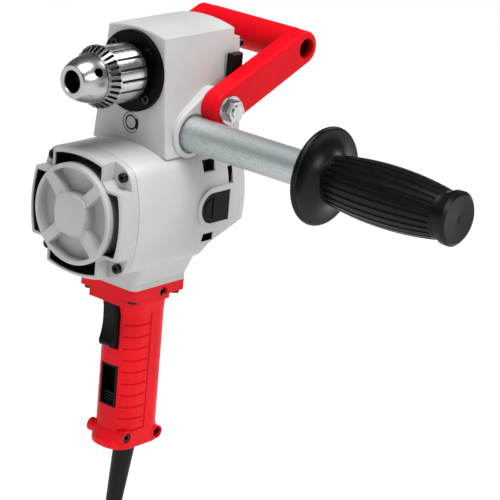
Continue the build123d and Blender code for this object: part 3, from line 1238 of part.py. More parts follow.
# Bail handle and its bolts
with BuildPart() as d_handle:
    for way in SIDES:
        with BuildSketch(side(way * BAIL_INNER_X)):
            with Locations((BAIL_Y, BAIL_Z)):
                Circle(BAIL_BOSS_R)
            with Locations((BAIL_Y + BAIL_REACH_Y, BAIL_Z + BAIL_REACH_Z)):
                Circle(BAIL_END_R)
            make_hull()
        extrude(amount=way * BAIL_THICK)
    fillet(d_handle.faces().sort_by(Axis.X)[0].edges() + d_handle.faces().sort_by(Axis.X)[-1].edges(), BAIL_FILLET)
    rod_x(BAIL_BAR_R, -BAIL_INNER_X - 1, BAIL_INNER_X + 1, BAIL_Y + BAIL_REACH_Y, BAIL_Z + BAIL_REACH_Z)
    for way in SIDES:
        rod_x(
            BAIL_BORE_R, way * (BAIL_OUTER_X - BAIL_BORE_DEPTH), way * BAIL_OUTER_X,
            BAIL_Y + BAIL_REACH_Y, BAIL_Z + BAIL_REACH_Z, Mode.SUBTRACT,
        )
        rod_x(
            BAIL_BOLT_R + BAIL_BOLT_FIT, way * BAIL_INNER_X, way * BAIL_OUTER_X, BAIL_Y, BAIL_Z, Mode.SUBTRACT
        )
save(d_handle.part, "d_handle")

with BuildPart() as bail_bolts:
    for way in SIDES:
        flange_x = BAIL_OUTER_X + BAIL_SEAT_GAP
        rod_x(BAIL_BOLT_R - SEAT_GAP, way * BAIL_BOLT_TIP_X, way * flange_x, BAIL_Y, BAIL_Z)
        rod_x(BOLT_FLANGE_R, way * flange_x, way * (flange_x + BOLT_FLANGE_THICK), BAIL_Y, BAIL_Z)
        with BuildSketch(side(way * (flange_x + BOLT_FLANGE_THICK))):
            with Locations((BAIL_Y, BAIL_Z)):
                RegularPolygon(BOLT_HEX / 2, 6, major_radius=False)
        extrude(amount=way * BOLT_HEAD)
        crown_x = flange_x + BOLT_FLANGE_THICK + BOLT_HEAD
        rod_x(BOLT_CROWN_R, way * crown_x, way * (crown_x + BOLT_CROWN), BAIL_Y, BAIL_Z)
save(bail_bolts.part, "bail_bolts")

# Side handle: pipe and moulded grip
PIPE_AXIS = Axis((0, PIPE_Y, PIPE_Z), (1, 0, 0))
GRIP_BORE_END_X = PIPE_END_X + 1.0
GRIP_BACK_X = GUARD_X - 5.0
GRIP_BACK_R = 17.5
GRIP_DISH = 1.2
GRIP_FLUTE_START_X = GRIP_ROOT_X + 3.0
GRIP_FLUTE_END_X = GRIP_TAIL_X - 1.5
with BuildPart() as side_handle_pipe:
    rod_x(PIPE_R, SOCKET_FLOOR_X, PIPE_END_X, PIPE_Y, PIPE_Z)
    rod_x(PIPE_BORE_R, SOCKET_FLOOR_X, PIPE_END_X, PIPE_Y, PIPE_Z, Mode.SUBTRACT)
save(side_handle_pipe.part, "side_handle_pipe")


def grip_radius(x):
    """Radius of the bowed grip barrel at x."""
    middle = (GRIP_ROOT_X + GRIP_TAIL_X) / 2
    half = (GRIP_TAIL_X - GRIP_ROOT_X) / 2
    share = ((x - middle) / half) ** 2
    return GRIP_MID_R - share * (GRIP_MID_R - (GRIP_ROOT_R if x < middle else GRIP_TAIL_R))


with BuildPart() as grip_flutes:
    flute_middle_x = (GRIP_FLUTE_START_X + GRIP_FLUTE_END_X) / 2
    with BuildLine() as flute_path:
        ThreePointArc(
            (GRIP_FLUTE_START_X, PIPE_Y, PIPE_Z + grip_radius(GRIP_FLUTE_START_X)),
            (flute_middle_x, PIPE_Y, PIPE_Z + grip_radius(flute_middle_x)),
            (GRIP_FLUTE_END_X, PIPE_Y, PIPE_Z + grip_radius(GRIP_FLUTE_END_X)),
        )
    with BuildSketch(Plane(origin=flute_path.line @ 0, z_dir=flute_path.line % 0)):
        Circle(GRIP_FLUTE_R)
    sweep(path=flute_path.line)

with BuildPart() as side_grip:
    with BuildSketch(front(PIPE_Y)):
        with BuildLine():
            Polyline(
                (GRIP_BACK_X, PIPE_Z),
                (GRIP_BACK_X, PIPE_Z + GRIP_BACK_R),
                (GUARD_X, PIPE_Z + GUARD_R - GUARD_RIM / 2),
            )
            ThreePointArc(
                (GUARD_X, PIPE_Z + GUARD_R - GUARD_RIM / 2),
                (GUARD_X + GUARD_RIM / 2, PIPE_Z + GUARD_R),
                (GUARD_X + GUARD_RIM, PIPE_Z + GUARD_R - GUARD_RIM / 2),
            )
            ThreePointArc(
                (GUARD_X + GUARD_RIM, PIPE_Z + GUARD_R - GUARD_RIM / 2),
                (GUARD_X + GUARD_RIM + 2.5, PIPE_Z + (GUARD_R + GRIP_ROOT_R) / 2 - 2.5),
                (GRIP_ROOT_X, PIPE_Z + GRIP_ROOT_R),
            )
            ThreePointArc(
                (GRIP_ROOT_X, PIPE_Z + GRIP_ROOT_R),
                ((GRIP_ROOT_X + GRIP_TAIL_X) / 2, PIPE_Z + GRIP_MID_R),
                (GRIP_TAIL_X, PIPE_Z + GRIP_TAIL_R),
            )
            Polyline(
                (GRIP_TAIL_X, PIPE_Z + GRIP_TAIL_R),
                (GRIP_TAIL_X + 1, PIPE_Z + GRIP_NECK_R),
                (GRIP_TAIL_X + GRIP_NECK_LENGTH - 1, PIPE_Z + GRIP_NECK_R),
                (GRIP_TAIL_X + GRIP_NECK_LENGTH, PIPE_Z + GRIP_DISC_R - 1),
                (GRIP_TAIL_X + GRIP_NECK_LENGTH + 1, PIPE_Z + GRIP_DISC_R),
                (GRIP_TAIL_X + GRIP_NECK_LENGTH + GRIP_DISC_LENGTH - 2, PIPE_Z + GRIP_DISC_R),
                (GRIP_TAIL_X + GRIP_NECK_LENGTH + GRIP_DISC_LENGTH, PIPE_Z + GRIP_DISC_R - 2.5),
                (GRIP_TAIL_X + GRIP_NECK_LENGTH + GRIP_DISC_LENGTH - GRIP_DISH, PIPE_Z),
                (GRIP_BACK_X, PIPE_Z),
            )
        make_face()
    revolve(axis=PIPE_AXIS)
    for index in range(GRIP_FLUTES):
        add(grip_flutes.part.rotate(PIPE_AXIS, 360 * index / GRIP_FLUTES), mode=Mode.SUBTRACT)
    rod_x(PIPE_R + SEAT_GAP, GRIP_BACK_X, GRIP_BORE_END_X, PIPE_Y, PIPE_Z, Mode.SUBTRACT)
save(side_grip.part, "side_grip")

# Main handle, in two halves split on the middle plane
SHOULDER_WIDTH = 42.0
SHOULDER_DEPTH = 50.0
SHOULDER_CORNER = 16.0
SHOULDER_Y = -2.0
TIER_HALF = 17.0
TIER_SIDE_X = 23.5
HANDLE_EDGE = 3.0
CAVITY_LOW_Z = -48.0
CAVITY_WIDTH = GRIP_WIDTH - 2 * GRIP_WALL
CAVITY_DEPTH = GRIP_DEPTH - 2 * GRIP_WALL
CAVITY_CORNER = GRIP_CORNER - GRIP_WALL
HANDLE_SCREWS = ((0.3, 65.0, 24.0), (-18.1, -53.9, 15.5), (16.0, -57.0, 14.0))
HANDLE_SCREW_TIP_X = -12.0
SCREW_BOSS_R = 4.8
SLOT_LOW_Z = TRIGGER_FOOT_Z - 1.5
SLOT_TOP_Z = TRIGGER_TOP_Z + 1.5
WINDOW_Z = WINDOW_TOP_Z - WINDOW_HEIGHT / 2
BOOT_Y = 1.0
BOOT_COLLAR_R = 10.6
BOOT_COLLAR = 4.0
BOOT_COLLAR_BACK = 8.0
BOOT_BACK = (CAVITY_LOW_Z - HANDLE_BOTTOM_Z) / math.cos(math.radians(BOOT_LEAN))
BOOT_RUN = (0, -math.sin(math.radians(BOOT_LEAN)), -math.cos(math.radians(BOOT_LEAN)))
BOOT_PLANE = Plane(origin=(0, BOOT_Y, HANDLE_BOTTOM_Z), x_dir=(1, 0, 0), z_dir=BOOT_RUN)
FROM_FACE = (Align.CENTER, Align.CENTER, Align.MIN)
TO_FACE = (Align.CENTER, Align.CENTER, Align.MAX)


def add_screw_x(y, z, seat_x, tip_x):
    """Socket screw along X: its head stands on the seat, its shank runs to the tip."""
    rod_x(SCREW_R, tip_x, seat_x, y, z)
    rod_x(SCREW_HEAD_R, seat_x, seat_x + SCREW_HEAD, y, z)
    with BuildSketch(side(seat_x + SCREW_HEAD)) as socket:
        with Locations((y, z)):
            RegularPolygon(SCREW_SOCKET / 2, 6, major_radius=False)
    extrude(socket.sketch, amount=-SCREW_HEAD * 0.6, mode=Mode.SUBTRACT)


def grip_section(z, width, depth, corner, y=0.0):
    """Rounded section of the handle at height z."""
    with BuildSketch(Plane.XY.offset(z)) as section:
        with Locations((0, y)):
            RectangleRounded(width, depth, corner)
    return section.sketch


def rib_band(way, z):
    """Skin of the grip on one side, from the front corner back to the panel line."""
    with BuildSketch(Plane.XY.offset(z)) as band:
        RectangleRounded(GRIP_WIDTH + 4, GRIP_DEPTH + 4, GRIP_CORNER + 2)
        RectangleRounded(
            GRIP_WIDTH - 2 * RIB_DEPTH, GRIP_DEPTH - 2 * RIB_DEPTH, GRIP_CORNER - RIB_DEPTH, mode=Mode.SUBTRACT
        )
        with Locations((way * (RIB_START_X + GRIP_WIDTH / 2), RIB_BACK_Y - GRIP_DEPTH / 2)):
            Rectangle(GRIP_WIDTH, GRIP_DEPTH, mode=Mode.INTERSECT)
    return band.sketch


def handle_half(way):
    """Half of the handle shell on one side of the middle plane."""
    with BuildPart() as half:
        extrude(grip_section(GRIP_LOW_Z, GRIP_WIDTH, GRIP_DEPTH, GRIP_CORNER), amount=GRIP_TOP_Z - GRIP_LOW_Z)
        loft(
            [
                grip_section(GRIP_TOP_Z, GRIP_WIDTH, GRIP_DEPTH, GRIP_CORNER),
                grip_section(FLANGE_Z, SHOULDER_WIDTH, SHOULDER_DEPTH, SHOULDER_CORNER, SHOULDER_Y),
            ]
        )
        extrude(grip_section(FLANGE_Z, NECK_SIDE, NECK_SIDE, NECK_CORNER, NECK_Y), amount=FLANGE_THICK)
        loft(
            [
                grip_section(FLARE_Z, FLARE_WIDTH, FLARE_DEPTH, FLARE_CORNER),
                grip_section(GRIP_LOW_Z, GRIP_WIDTH, GRIP_DEPTH, GRIP_CORNER),
            ]
        )
        extrude(
            grip_section(HANDLE_BOTTOM_Z, FLARE_WIDTH, FLARE_DEPTH, FLARE_CORNER), amount=FLARE_Z - HANDLE_BOTTOM_Z
        )
        fillet(half.edges().group_by(Axis.Z)[0], HANDLE_EDGE)
        with Locations((0, NECK_Y, SLOT_TOP_Z)):
            Box(2 * TIER_HALF, NECK_SIDE, FLANGE_Z - SLOT_TOP_Z, align=FROM_FACE)
            Box(2 * TIER_SIDE_X, 2 * TIER_HALF, FLANGE_Z - SLOT_TOP_Z, align=FROM_FACE)
        for y, z, seat_x in HANDLE_SCREWS[1:]:
            rod_x(LOBE_R, -FLARE_WIDTH / 2 - LOBE_RISE, FLARE_WIDTH / 2 + LOBE_RISE, y, z)
        extrude(
            grip_section(CAVITY_LOW_Z, CAVITY_WIDTH, CAVITY_DEPTH, CAVITY_CORNER),
            amount=NECK_Z - CAVITY_LOW_Z,
            mode=Mode.SUBTRACT,
        )
        rod_x(SCREW_BOSS_R, -CAVITY_WIDTH / 2 - 1, CAVITY_WIDTH / 2 + 1, HANDLE_SCREWS[0][0], HANDLE_SCREWS[0][1])
        for y, z, seat_x in HANDLE_SCREWS:
            rod_x(SCREW_R + SCREW_FIT, HANDLE_SCREW_TIP_X - 0.5, seat_x, y, z, Mode.SUBTRACT)
            rod_x(SCREW_HEAD_R + 0.5, seat_x, NECK_SIDE / 2, y, z, Mode.SUBTRACT)
        for x, y in FLANGE_SCREWS:
            with Locations((x, y, FLANGE_Z + FLANGE_THICK / 2)):
                Cylinder(SCREW_R + SCREW_FIT, FLANGE_THICK, mode=Mode.SUBTRACT)
        with Locations((0, GRIP_FRONT_Y, (SLOT_LOW_Z + SLOT_TOP_Z) / 2)):
            Box(TRIGGER_WIDTH + 2 * TRIGGER_GAP, 20, SLOT_TOP_Z - SLOT_LOW_Z, mode=Mode.SUBTRACT)
        with Locations((0, GRIP_FRONT_Y, WINDOW_Z)):
            Box(WINDOW_WIDTH, 14, WINDOW_HEIGHT, mode=Mode.SUBTRACT)
        with Locations(BOOT_PLANE):
            Cylinder(BOOT_TOP_R + SEAT_GAP, 2 * BOOT_BACK + 4, mode=Mode.SUBTRACT)
        with Locations(BOOT_PLANE.offset(-BOOT_COLLAR_BACK)):
            Cylinder(BOOT_COLLAR_R + SEAT_GAP, BOOT_COLLAR + 2 * SEAT_GAP, mode=Mode.SUBTRACT)
        for index in range(RIB_COUNT):
            extrude(rib_band(way, RIB_TOP_Z - index * RIB_PITCH), amount=RIB_HEIGHT, mode=Mode.SUBTRACT)
        with Locations((way * GRIP_WIDTH / 2, RIB_BACK_Y, RIB_TOP_Z - (RIB_COUNT - 1) * RIB_PITCH)):
            Box(
                2 * RIB_DEPTH, RIB_HEIGHT, RIB_COUNT * RIB_PITCH, align=(Align.CENTER, Align.MIN, Align.MIN),
                mode=Mode.SUBTRACT,
            )
        with Locations((-way * (NECK_SIDE - HALF_GAP / 2), 0, 0)):
            Box(2 * NECK_SIDE, 2 * FLARE_DEPTH, 4 * NECK_Z, mode=Mode.SUBTRACT)
    return half.part


save(handle_half(-1), "handle_left")
save(handle_half(1), "handle_right")

with BuildPart() as handle_screws:
    for y, z, seat_x in HANDLE_SCREWS:
        add_screw_x(y, z, seat_x, HANDLE_SCREW_TIP_X)
save(handle_screws.part, "handle_screws")

with BuildPart() as flange_screws:
    for x, y in FLANGE_SCREWS:
        with Locations((x, y, FLANGE_Z)):
            Cylinder(SCREW_R, FLANGE_THICK + FLANGE_SCREW_BITE - 1, align=FROM_FACE)
            Cylinder(SCREW_HEAD_R, SCREW_HEAD, align=TO_FACE)
        with BuildSketch(Plane.XY.offset(FLANGE_Z - SCREW_HEAD)):
            with Locations((x, y)):
                RegularPolygon(SCREW_SOCKET / 2, 6, major_radius=False)
        extrude(amount=SCREW_HEAD * 0.6, mode=Mode.SUBTRACT)
save(flange_screws.part, "flange_screws")

# Trigger and the switch behind it
SWITCH_HALF = 10.5
SWITCH_FRONT_Y = TRIGGER_PIVOT_Y + 6.5
SWITCH_BACK_Y = 15.0
SWITCH_LOW_Z = 13.0
SWITCH_TOP_Z = 53.5
SWITCH_PLATE_Z = 24.0
SWITCH_PLATE = 4.0
EAR_INNER_X = TRIGGER_WIDTH / 2 + 0.5
EAR_FRONT_Y = TRIGGER_PIVOT_Y - 2.6
EAR_LOW_Z = 46.0
TRIGGER_EDGE = 1.2
with BuildPart() as trigger:
    face_y = GRIP_FRONT_Y - TRIGGER_STAND
    with BuildSketch(side(-TRIGGER_WIDTH / 2)):
        with BuildLine():
            face = Line((face_y, TRIGGER_TOP_Z), (face_y + 0.5, TRIGGER_TOP_Z - 13))
            scoop = TangentArc(face @ 1, (face_y - 2.4, TRIGGER_FOOT_Z + 6), tangent=face % 1)
            toe = TangentArc(scoop @ 1, (face_y + 1.6, TRIGGER_FOOT_Z + 0.4), tangent=scoop % 1)
            Polyline(
                toe @ 1,
                (TRIGGER_PIVOT_Y - 5, TRIGGER_FOOT_Z),
                (TRIGGER_PIVOT_Y + 0.5, TRIGGER_FOOT_Z + 3),
                (TRIGGER_PIVOT_Y + 2.5, TRIGGER_PIVOT_Z - 11),
                (TRIGGER_PIVOT_Y + 3.5, TRIGGER_PIVOT_Z),
                (TRIGGER_PIVOT_Y + 2, TRIGGER_TOP_Z),
                face @ 0,
            )
        make_face()
    extrude(amount=TRIGGER_WIDTH)
    sides = trigger.faces().sort_by(Axis.X)
    rims = sides[0].edges() + sides[-1].edges()
    chamfer(rims.filter_by(lambda edge: edge.center().Y < GRIP_FRONT_Y), TRIGGER_EDGE)
    rod_x(TRUNNION_R, -SWITCH_HALF, SWITCH_HALF, TRIGGER_PIVOT_Y, TRIGGER_PIVOT_Z)
save(trigger.part, "trigger")

with BuildPart() as switch_body:
    with Locations((0, (SWITCH_FRONT_Y + SWITCH_BACK_Y) / 2, (SWITCH_LOW_Z + SWITCH_TOP_Z) / 2)):
        Box(2 * SWITCH_HALF, SWITCH_BACK_Y - SWITCH_FRONT_Y, SWITCH_TOP_Z - SWITCH_LOW_Z)
    with BuildSketch(Plane.XY.offset(SWITCH_PLATE_Z)):
        RectangleRounded(CAVITY_WIDTH - 2 * SEAT_GAP, CAVITY_DEPTH - 2 * SEAT_GAP, CAVITY_CORNER - SEAT_GAP)
        with Locations((0, SWITCH_FRONT_Y - CAVITY_DEPTH / 2)):
            Rectangle(CAVITY_WIDTH, CAVITY_DEPTH, mode=Mode.SUBTRACT)
    extrude(amount=SWITCH_PLATE)
    for way in SIDES:
        with Locations(
            (
                way * (EAR_INNER_X + SWITCH_HALF) / 2,
                (EAR_FRONT_Y + SWITCH_FRONT_Y + 1) / 2,
                (EAR_LOW_Z + TRIGGER_TOP_Z) / 2,
            )
        ):
            Box(SWITCH_HALF - EAR_INNER_X, SWITCH_FRONT_Y + 1 - EAR_FRONT_Y, TRIGGER_TOP_Z - EAR_LOW_Z)
    rod_x(TRUNNION_R + RUN_FIT, -SWITCH_HALF, SWITCH_HALF, TRIGGER_PIVOT_Y, TRIGGER_PIVOT_Z, Mode.SUBTRACT)
save(switch_body.part, "switch_body")

# Reversing switch in the lower window
REVERSE_FRONT_Y = GRIP_FRONT_Y + 0.1
REVERSE_BACK_Y = GRIP_FRONT_Y + 15.0
REVERSE_FLOOR_Y = GRIP_FRONT_Y + 8.0
REVERSE_RIM = 1.6
SLIDER_FRONT_Y = GRIP_FRONT_Y + 2.0
SLIDER_SIDE_GAP = 0.3
SLIDER_GROOVE = 1.0
SLIDER_Z = WINDOW_Z - WINDOW_HEIGHT / 2 + REVERSE_RIM + SLIDER_SIDE_GAP + SLIDER_HEIGHT / 2
with BuildPart() as reversing_switch:
    with Locations((0, (REVERSE_FRONT_Y + REVERSE_BACK_Y) / 2, WINDOW_Z)):
        Box(WINDOW_WIDTH - 2 * SEAT_GAP, REVERSE_BACK_Y - REVERSE_FRONT_Y, WINDOW_HEIGHT - 2 * SEAT_GAP)
    with Locations((0, (REVERSE_FRONT_Y + REVERSE_FLOOR_Y) / 2, WINDOW_Z)):
        Box(
            WINDOW_WIDTH - 2 * REVERSE_RIM,
            REVERSE_FLOOR_Y - REVERSE_FRONT_Y,
            WINDOW_HEIGHT - 2 * REVERSE_RIM,
            mode=Mode.SUBTRACT,
        )
save(reversing_switch.part, "reversing_switch")

with BuildPart() as reversing_slider:
    slider_depth = REVERSE_FLOOR_Y - SLIDE_FIT - SLIDER_FRONT_Y
    with Locations((0, SLIDER_FRONT_Y + slider_depth / 2, SLIDER_Z)):
        Box(WINDOW_WIDTH - 2 * REVERSE_RIM - 2 * SLIDER_SIDE_GAP, slider_depth, SLIDER_HEIGHT)
    for rise in (-2.4, 0, 2.4):
        with Locations((0, SLIDER_FRONT_Y, SLIDER_Z + rise)):
            Box(WINDOW_WIDTH, 2 * SLIDER_GROOVE, SLIDER_GROOVE, mode=Mode.SUBTRACT)
save(reversing_slider.part, "reversing_slider")

# Cord: boot, clamp, inner leads, lead, coil on the ground, tie and plug
JACKET_STUB = 10.0
LEAD_R = 1.3
LEAD_SPREAD = 1.7
LEAD_LENGTH = 60.0
CLAMP_WIDTH = 24.0
CLAMP_DEPTH = 8.0
CLAMP_HEIGHT = 8.0
with BuildPart() as strain_relief:
    with Locations(BOOT_PLANE):
        Cone(BOOT_TOP_R, BOOT_TIP_R, BOOT_LENGTH, align=FROM_FACE)
        Cylinder(BOOT_TOP_R, BOOT_BACK, align=TO_FACE)
    with Locations(BOOT_PLANE.offset(-BOOT_COLLAR_BACK)):
        Cylinder(BOOT_COLLAR_R, BOOT_COLLAR)
save(strain_relief.part, "strain_relief")

with BuildPart() as internal_leads:
    with Locations(BOOT_PLANE.offset(-BOOT_BACK)):
        Cylinder(CORD_R, JACKET_STUB, align=TO_FACE)
    with Locations(BOOT_PLANE.offset(-BOOT_BACK - JACKET_STUB)):
        with Locations((-LEAD_SPREAD, 0, 0), (LEAD_SPREAD, 0, 0)):
            Cylinder(LEAD_R, LEAD_LENGTH, align=TO_FACE)
    with Locations((0, 0, SWITCH_LOW_Z - SEAT_GAP)):
        Box(2 * CAVITY_WIDTH, 2 * CAVITY_DEPTH, LEAD_LENGTH, align=FROM_FACE, mode=Mode.SUBTRACT)
save(internal_leads.part, "internal_leads")

with BuildPart() as cord_clamp:
    with Locations((0, BOOT_Y - CLAMP_DEPTH / 2, CAVITY_LOW_Z + SEAT_GAP)):
        Box(CLAMP_WIDTH, CLAMP_DEPTH, CLAMP_HEIGHT, align=FROM_FACE)
    with Locations(BOOT_PLANE.offset(-BOOT_BACK)):
        Cylinder(CORD_R + SEAT_GAP, 2 * CLAMP_HEIGHT + 8, mode=Mode.SUBTRACT)
        Cylinder(BOOT_TOP_R + SEAT_GAP, 2 * SEAT_GAP + 3.0, mode=Mode.SUBTRACT)
save(cord_clamp.part, "cord_clamp")

COIL_X = 89.0
COIL_Y = 50.0
COIL_Z = FLOOR_Z + COIL_LIFT + CORD_R
COIL_OUTER_R = COIL_TURN_R + COIL_STEP * COIL_TURNS_PER_LAYER / 2
COIL_RATE = COIL_STEP / (2 * math.pi)
LAYER_ANGLE = 2 * math.pi * COIL_TURNS_PER_LAYER
COIL_START = -math.pi / 2
COIL_TAIL = 50.0


def coil_point(turned):
    """Point on the coil after a turned angle: in along the floor, up a layer, out again on top."""
    inner_r = COIL_OUTER_R - COIL_RATE * LAYER_ANGLE
    if turned <= LAYER_ANGLE:
        radius = COIL_OUTER_R - COIL_RATE * turned
        rise = 0.0
    elif turned <= LAYER_ANGLE + math.pi:
        climbed = turned - LAYER_ANGLE
        radius = inner_r - COIL_RATE * climbed * (1 - climbed / math.pi)
        rise = COIL_STEP * (1 - math.cos(climbed)) / 2
    else:
        radius = inner_r + COIL_RATE * (turned - LAYER_ANGLE - math.pi)
        rise = COIL_STEP
    angle = COIL_START + turned
    return Vector(COIL_X + radius * math.cos(angle), COIL_Y + radius * math.sin(angle), COIL_Z + rise)


def coil_heading(turned):
    """Direction of the coil after a turned angle."""
    small = 1e-5
    return (coil_point(turned + small) - coil_point(turned - small)).normalized()


COIL_END = 2 * LAYER_ANGLE + math.pi
COIL_FOOT = coil_point(0) - coil_heading(0) * 2 * CORD_R
TAIL_END = coil_point(COIL_END) + coil_heading(COIL_END) * COIL_TAIL
BOOT_TIP = BOOT_PLANE.origin + BOOT_PLANE.z_dir * BOOT_LENGTH
LEAD_RUN = 24.0
LEAD_POINTS = [
    BOOT_TIP,
    BOOT_TIP + BOOT_PLANE.z_dir * 22,
    Vector(9.0, -15.0, -165.0),
    Vector(30.0, -17.0, -186.0),
    COIL_FOOT - coil_heading(0) * LEAD_RUN,
    COIL_FOOT,
]


def bend_radii(points):
    """Bend radius at each inner point, from the shorter run beside it and its turn."""
    radii = []
    for before, here, after in zip(points, points[1:], points[2:]):
        turn = math.radians((here - before).get_angle(after - here))
        radii.append(0.45 * min((here - before).length, (after - here).length) / math.tan(turn / 2))
    return radii


with BuildPart() as cord_lead:
    with BuildLine() as lead_path:
        FilletPolyline(*LEAD_POINTS, radius=bend_radii(LEAD_POINTS))
    with BuildSketch(Plane(origin=lead_path.line @ 0, z_dir=lead_path.line % 0)):
        Circle(CORD_R)
    sweep(path=lead_path.line)
save(cord_lead.part, "cord_lead")

with BuildPart() as cord_coil:
    with BuildLine() as coil_path:
        Line(COIL_FOOT, coil_point(0))
        steps = round(COIL_END / (math.pi / 2))
        for step in range(steps):
            start = coil_point(COIL_END * step / steps)
            end = coil_point(COIL_END * (step + 1) / steps)
            leave = coil_heading(COIL_END * step / steps)
            arrive = coil_heading(COIL_END * (step + 1) / steps)
            chord = end - start
            along = chord.dot(leave + arrive)
            opening = 2 * (1 - leave.dot(arrive))
            reach = (math.sqrt(along**2 + opening * chord.dot(chord)) - along) / opening
            joint = (start + end + (leave - arrive) * reach) * 0.5
            TangentArc(start, joint, tangent=leave)
            TangentArc(joint, end, tangent=(end - arrive * reach) - (start + leave * reach))
        Line(coil_point(COIL_END), TAIL_END)
    with BuildSketch(Plane(origin=coil_path.line @ 0, z_dir=coil_path.line % 0)):
        Circle(CORD_R)
    sweep(path=coil_path.line)
save(cord_coil.part, "cord_coil")

TIE_PLAY = 0.8
TIE_THICK = 1.0
TIE_WIDTH = 12.0
TIE_CORNER = 5.0
TIE_MIDDLE_X = COIL_X - (COIL_TURN_R - COIL_STEP / 4)
TIE_HALF = COIL_STEP + CORD_R + TIE_PLAY
TIE_RISE = COIL_STEP / 2 + CORD_R + TIE_PLAY / 2
with BuildPart() as coil_tie:
    with BuildSketch(front(COIL_Y - TIE_WIDTH / 2)):
        with Locations((TIE_MIDDLE_X, COIL_Z + COIL_STEP / 2)):
            RectangleRounded(2 * (TIE_HALF + TIE_THICK), 2 * (TIE_RISE + TIE_THICK), TIE_CORNER + TIE_THICK)
            RectangleRounded(2 * TIE_HALF, 2 * TIE_RISE, TIE_CORNER, mode=Mode.SUBTRACT)
    extrude(amount=-TIE_WIDTH)
save(coil_tie.part, "coil_tie")

PLUG_NECK_R = 6.6
PLUG_NECK = 14.0
PLUG_EDGE = 1.5
BLADE_PITCH = 12.7
BLADE_THICK = 1.5
BLADE_WIDTH = 6.4
EARTH_PIN_R = 2.4
EARTH_PIN_OFFSET = 7.0
PLUG_PLANE = Plane(origin=TAIL_END, x_dir=(0, 0, 1), z_dir=coil_heading(COIL_END))
PLUG_FACE = PLUG_PLANE.offset(PLUG_BODY_LENGTH)
with BuildPart() as plug_body:
    with Locations(PLUG_PLANE):
        Cone(PLUG_NECK_R, PLUG_BODY_R, PLUG_NECK, align=FROM_FACE)
    with Locations(PLUG_PLANE.offset(PLUG_NECK)):
        Cylinder(PLUG_BODY_R, PLUG_BODY_LENGTH - PLUG_NECK, align=FROM_FACE)
    chamfer(plug_body.edges().group_by(Axis.X)[0], PLUG_EDGE)
save(plug_body.part, "plug_body")

with BuildPart() as plug_prongs:
    with Locations(PLUG_FACE):
        with Locations((-3, BLADE_PITCH / 2, 0), (-3, -BLADE_PITCH / 2, 0)):
            Box(BLADE_WIDTH, BLADE_THICK, PRONG_LENGTH, align=FROM_FACE)
        with Locations((EARTH_PIN_OFFSET, 0, 0)):
            Cylinder(EARTH_PIN_R, PRONG_LENGTH + 2, align=FROM_FACE)
save(plug_prongs.part, "plug_prongs")

lead_length = lead_path.wire().length
coil_length = coil_path.wire().length
section = math.pi * CORD_R**2
walk = [coil_point(COIL_END * index / 3000) for index in range(3001)]
apart = round(3000 * math.pi / 2 / COIL_END)
least = min(
    (walk[i] - walk[j]).length for i in range(0, 3001, 8) for j in range(i + apart, 3001, 4)
)
print("lead bends", [round(radius, 1) for radius in bend_radii(LEAD_POINTS)])
print("lead length", round(lead_length), "volume over section", round(cord_lead.part.volume / section))
print("coil length", round(coil_length), "volume over section", round(cord_coil.part.volume / section))
print("cord from the boot to the plug", round(lead_length + coil_length), "least coil gap", round(least - 2 * CORD_R, 2))
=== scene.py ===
"""Dresses a corded right angle drill.

The body is a painted casting, the main and bail handles are red, the chuck is bright steel, the
side handle is a zinc pipe with a black grip, and the cord is put away as a coil.
"""

import logging
import math
from dataclasses import dataclass
from enum import Enum
from typing import Any, ClassVar, Mapping, Sequence, Union

import bpy
import numpy as np
from mathutils import Matrix, Vector


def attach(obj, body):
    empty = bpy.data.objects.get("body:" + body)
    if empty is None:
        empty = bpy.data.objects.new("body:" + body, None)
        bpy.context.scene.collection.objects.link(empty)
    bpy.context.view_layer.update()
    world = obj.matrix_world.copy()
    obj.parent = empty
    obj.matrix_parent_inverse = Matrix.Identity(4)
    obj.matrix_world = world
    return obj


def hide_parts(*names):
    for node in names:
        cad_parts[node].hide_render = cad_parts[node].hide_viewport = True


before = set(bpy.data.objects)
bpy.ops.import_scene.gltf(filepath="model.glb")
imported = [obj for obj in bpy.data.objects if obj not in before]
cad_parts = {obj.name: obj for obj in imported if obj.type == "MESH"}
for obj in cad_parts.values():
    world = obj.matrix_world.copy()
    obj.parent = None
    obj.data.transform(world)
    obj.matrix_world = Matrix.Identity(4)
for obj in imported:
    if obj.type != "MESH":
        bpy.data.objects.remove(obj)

log = logging.getLogger("drill")
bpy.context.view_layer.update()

Colour = tuple[float, float, float]
Place = tuple[float, float, float]
Span = tuple[float, float]
Number = Union[float, "Field"]

# Cloud values between which a finish goes from its dark to its light shade
CLOUD_BAND: Span = (0.3, 0.7)
# Metres over which the border of a bare place fades
MASK_BLUR = 0.0003
# Length of one band of the wave texture at scale 1
WAVE_LENGTH = 0.31
# Rays that look for the edges to be rounded
EDGE_SAMPLES = 4
# Sockets of the Mix node that carry colours
MIX_FIRST, MIX_SECOND, MIX_RESULT = 6, 7, 2
FULL_TURN = 2 * math.pi


def rgba(colour: Colour) -> tuple[float, float, float, float]:
    """Colour with full opacity."""
    return (*colour, 1.0)


def shaded(colour: Colour, by: float) -> Colour:
    """Colour times a number, with no channel past 1."""
    return tuple(min(1.0, by * part) for part in colour)


# Shader expressions


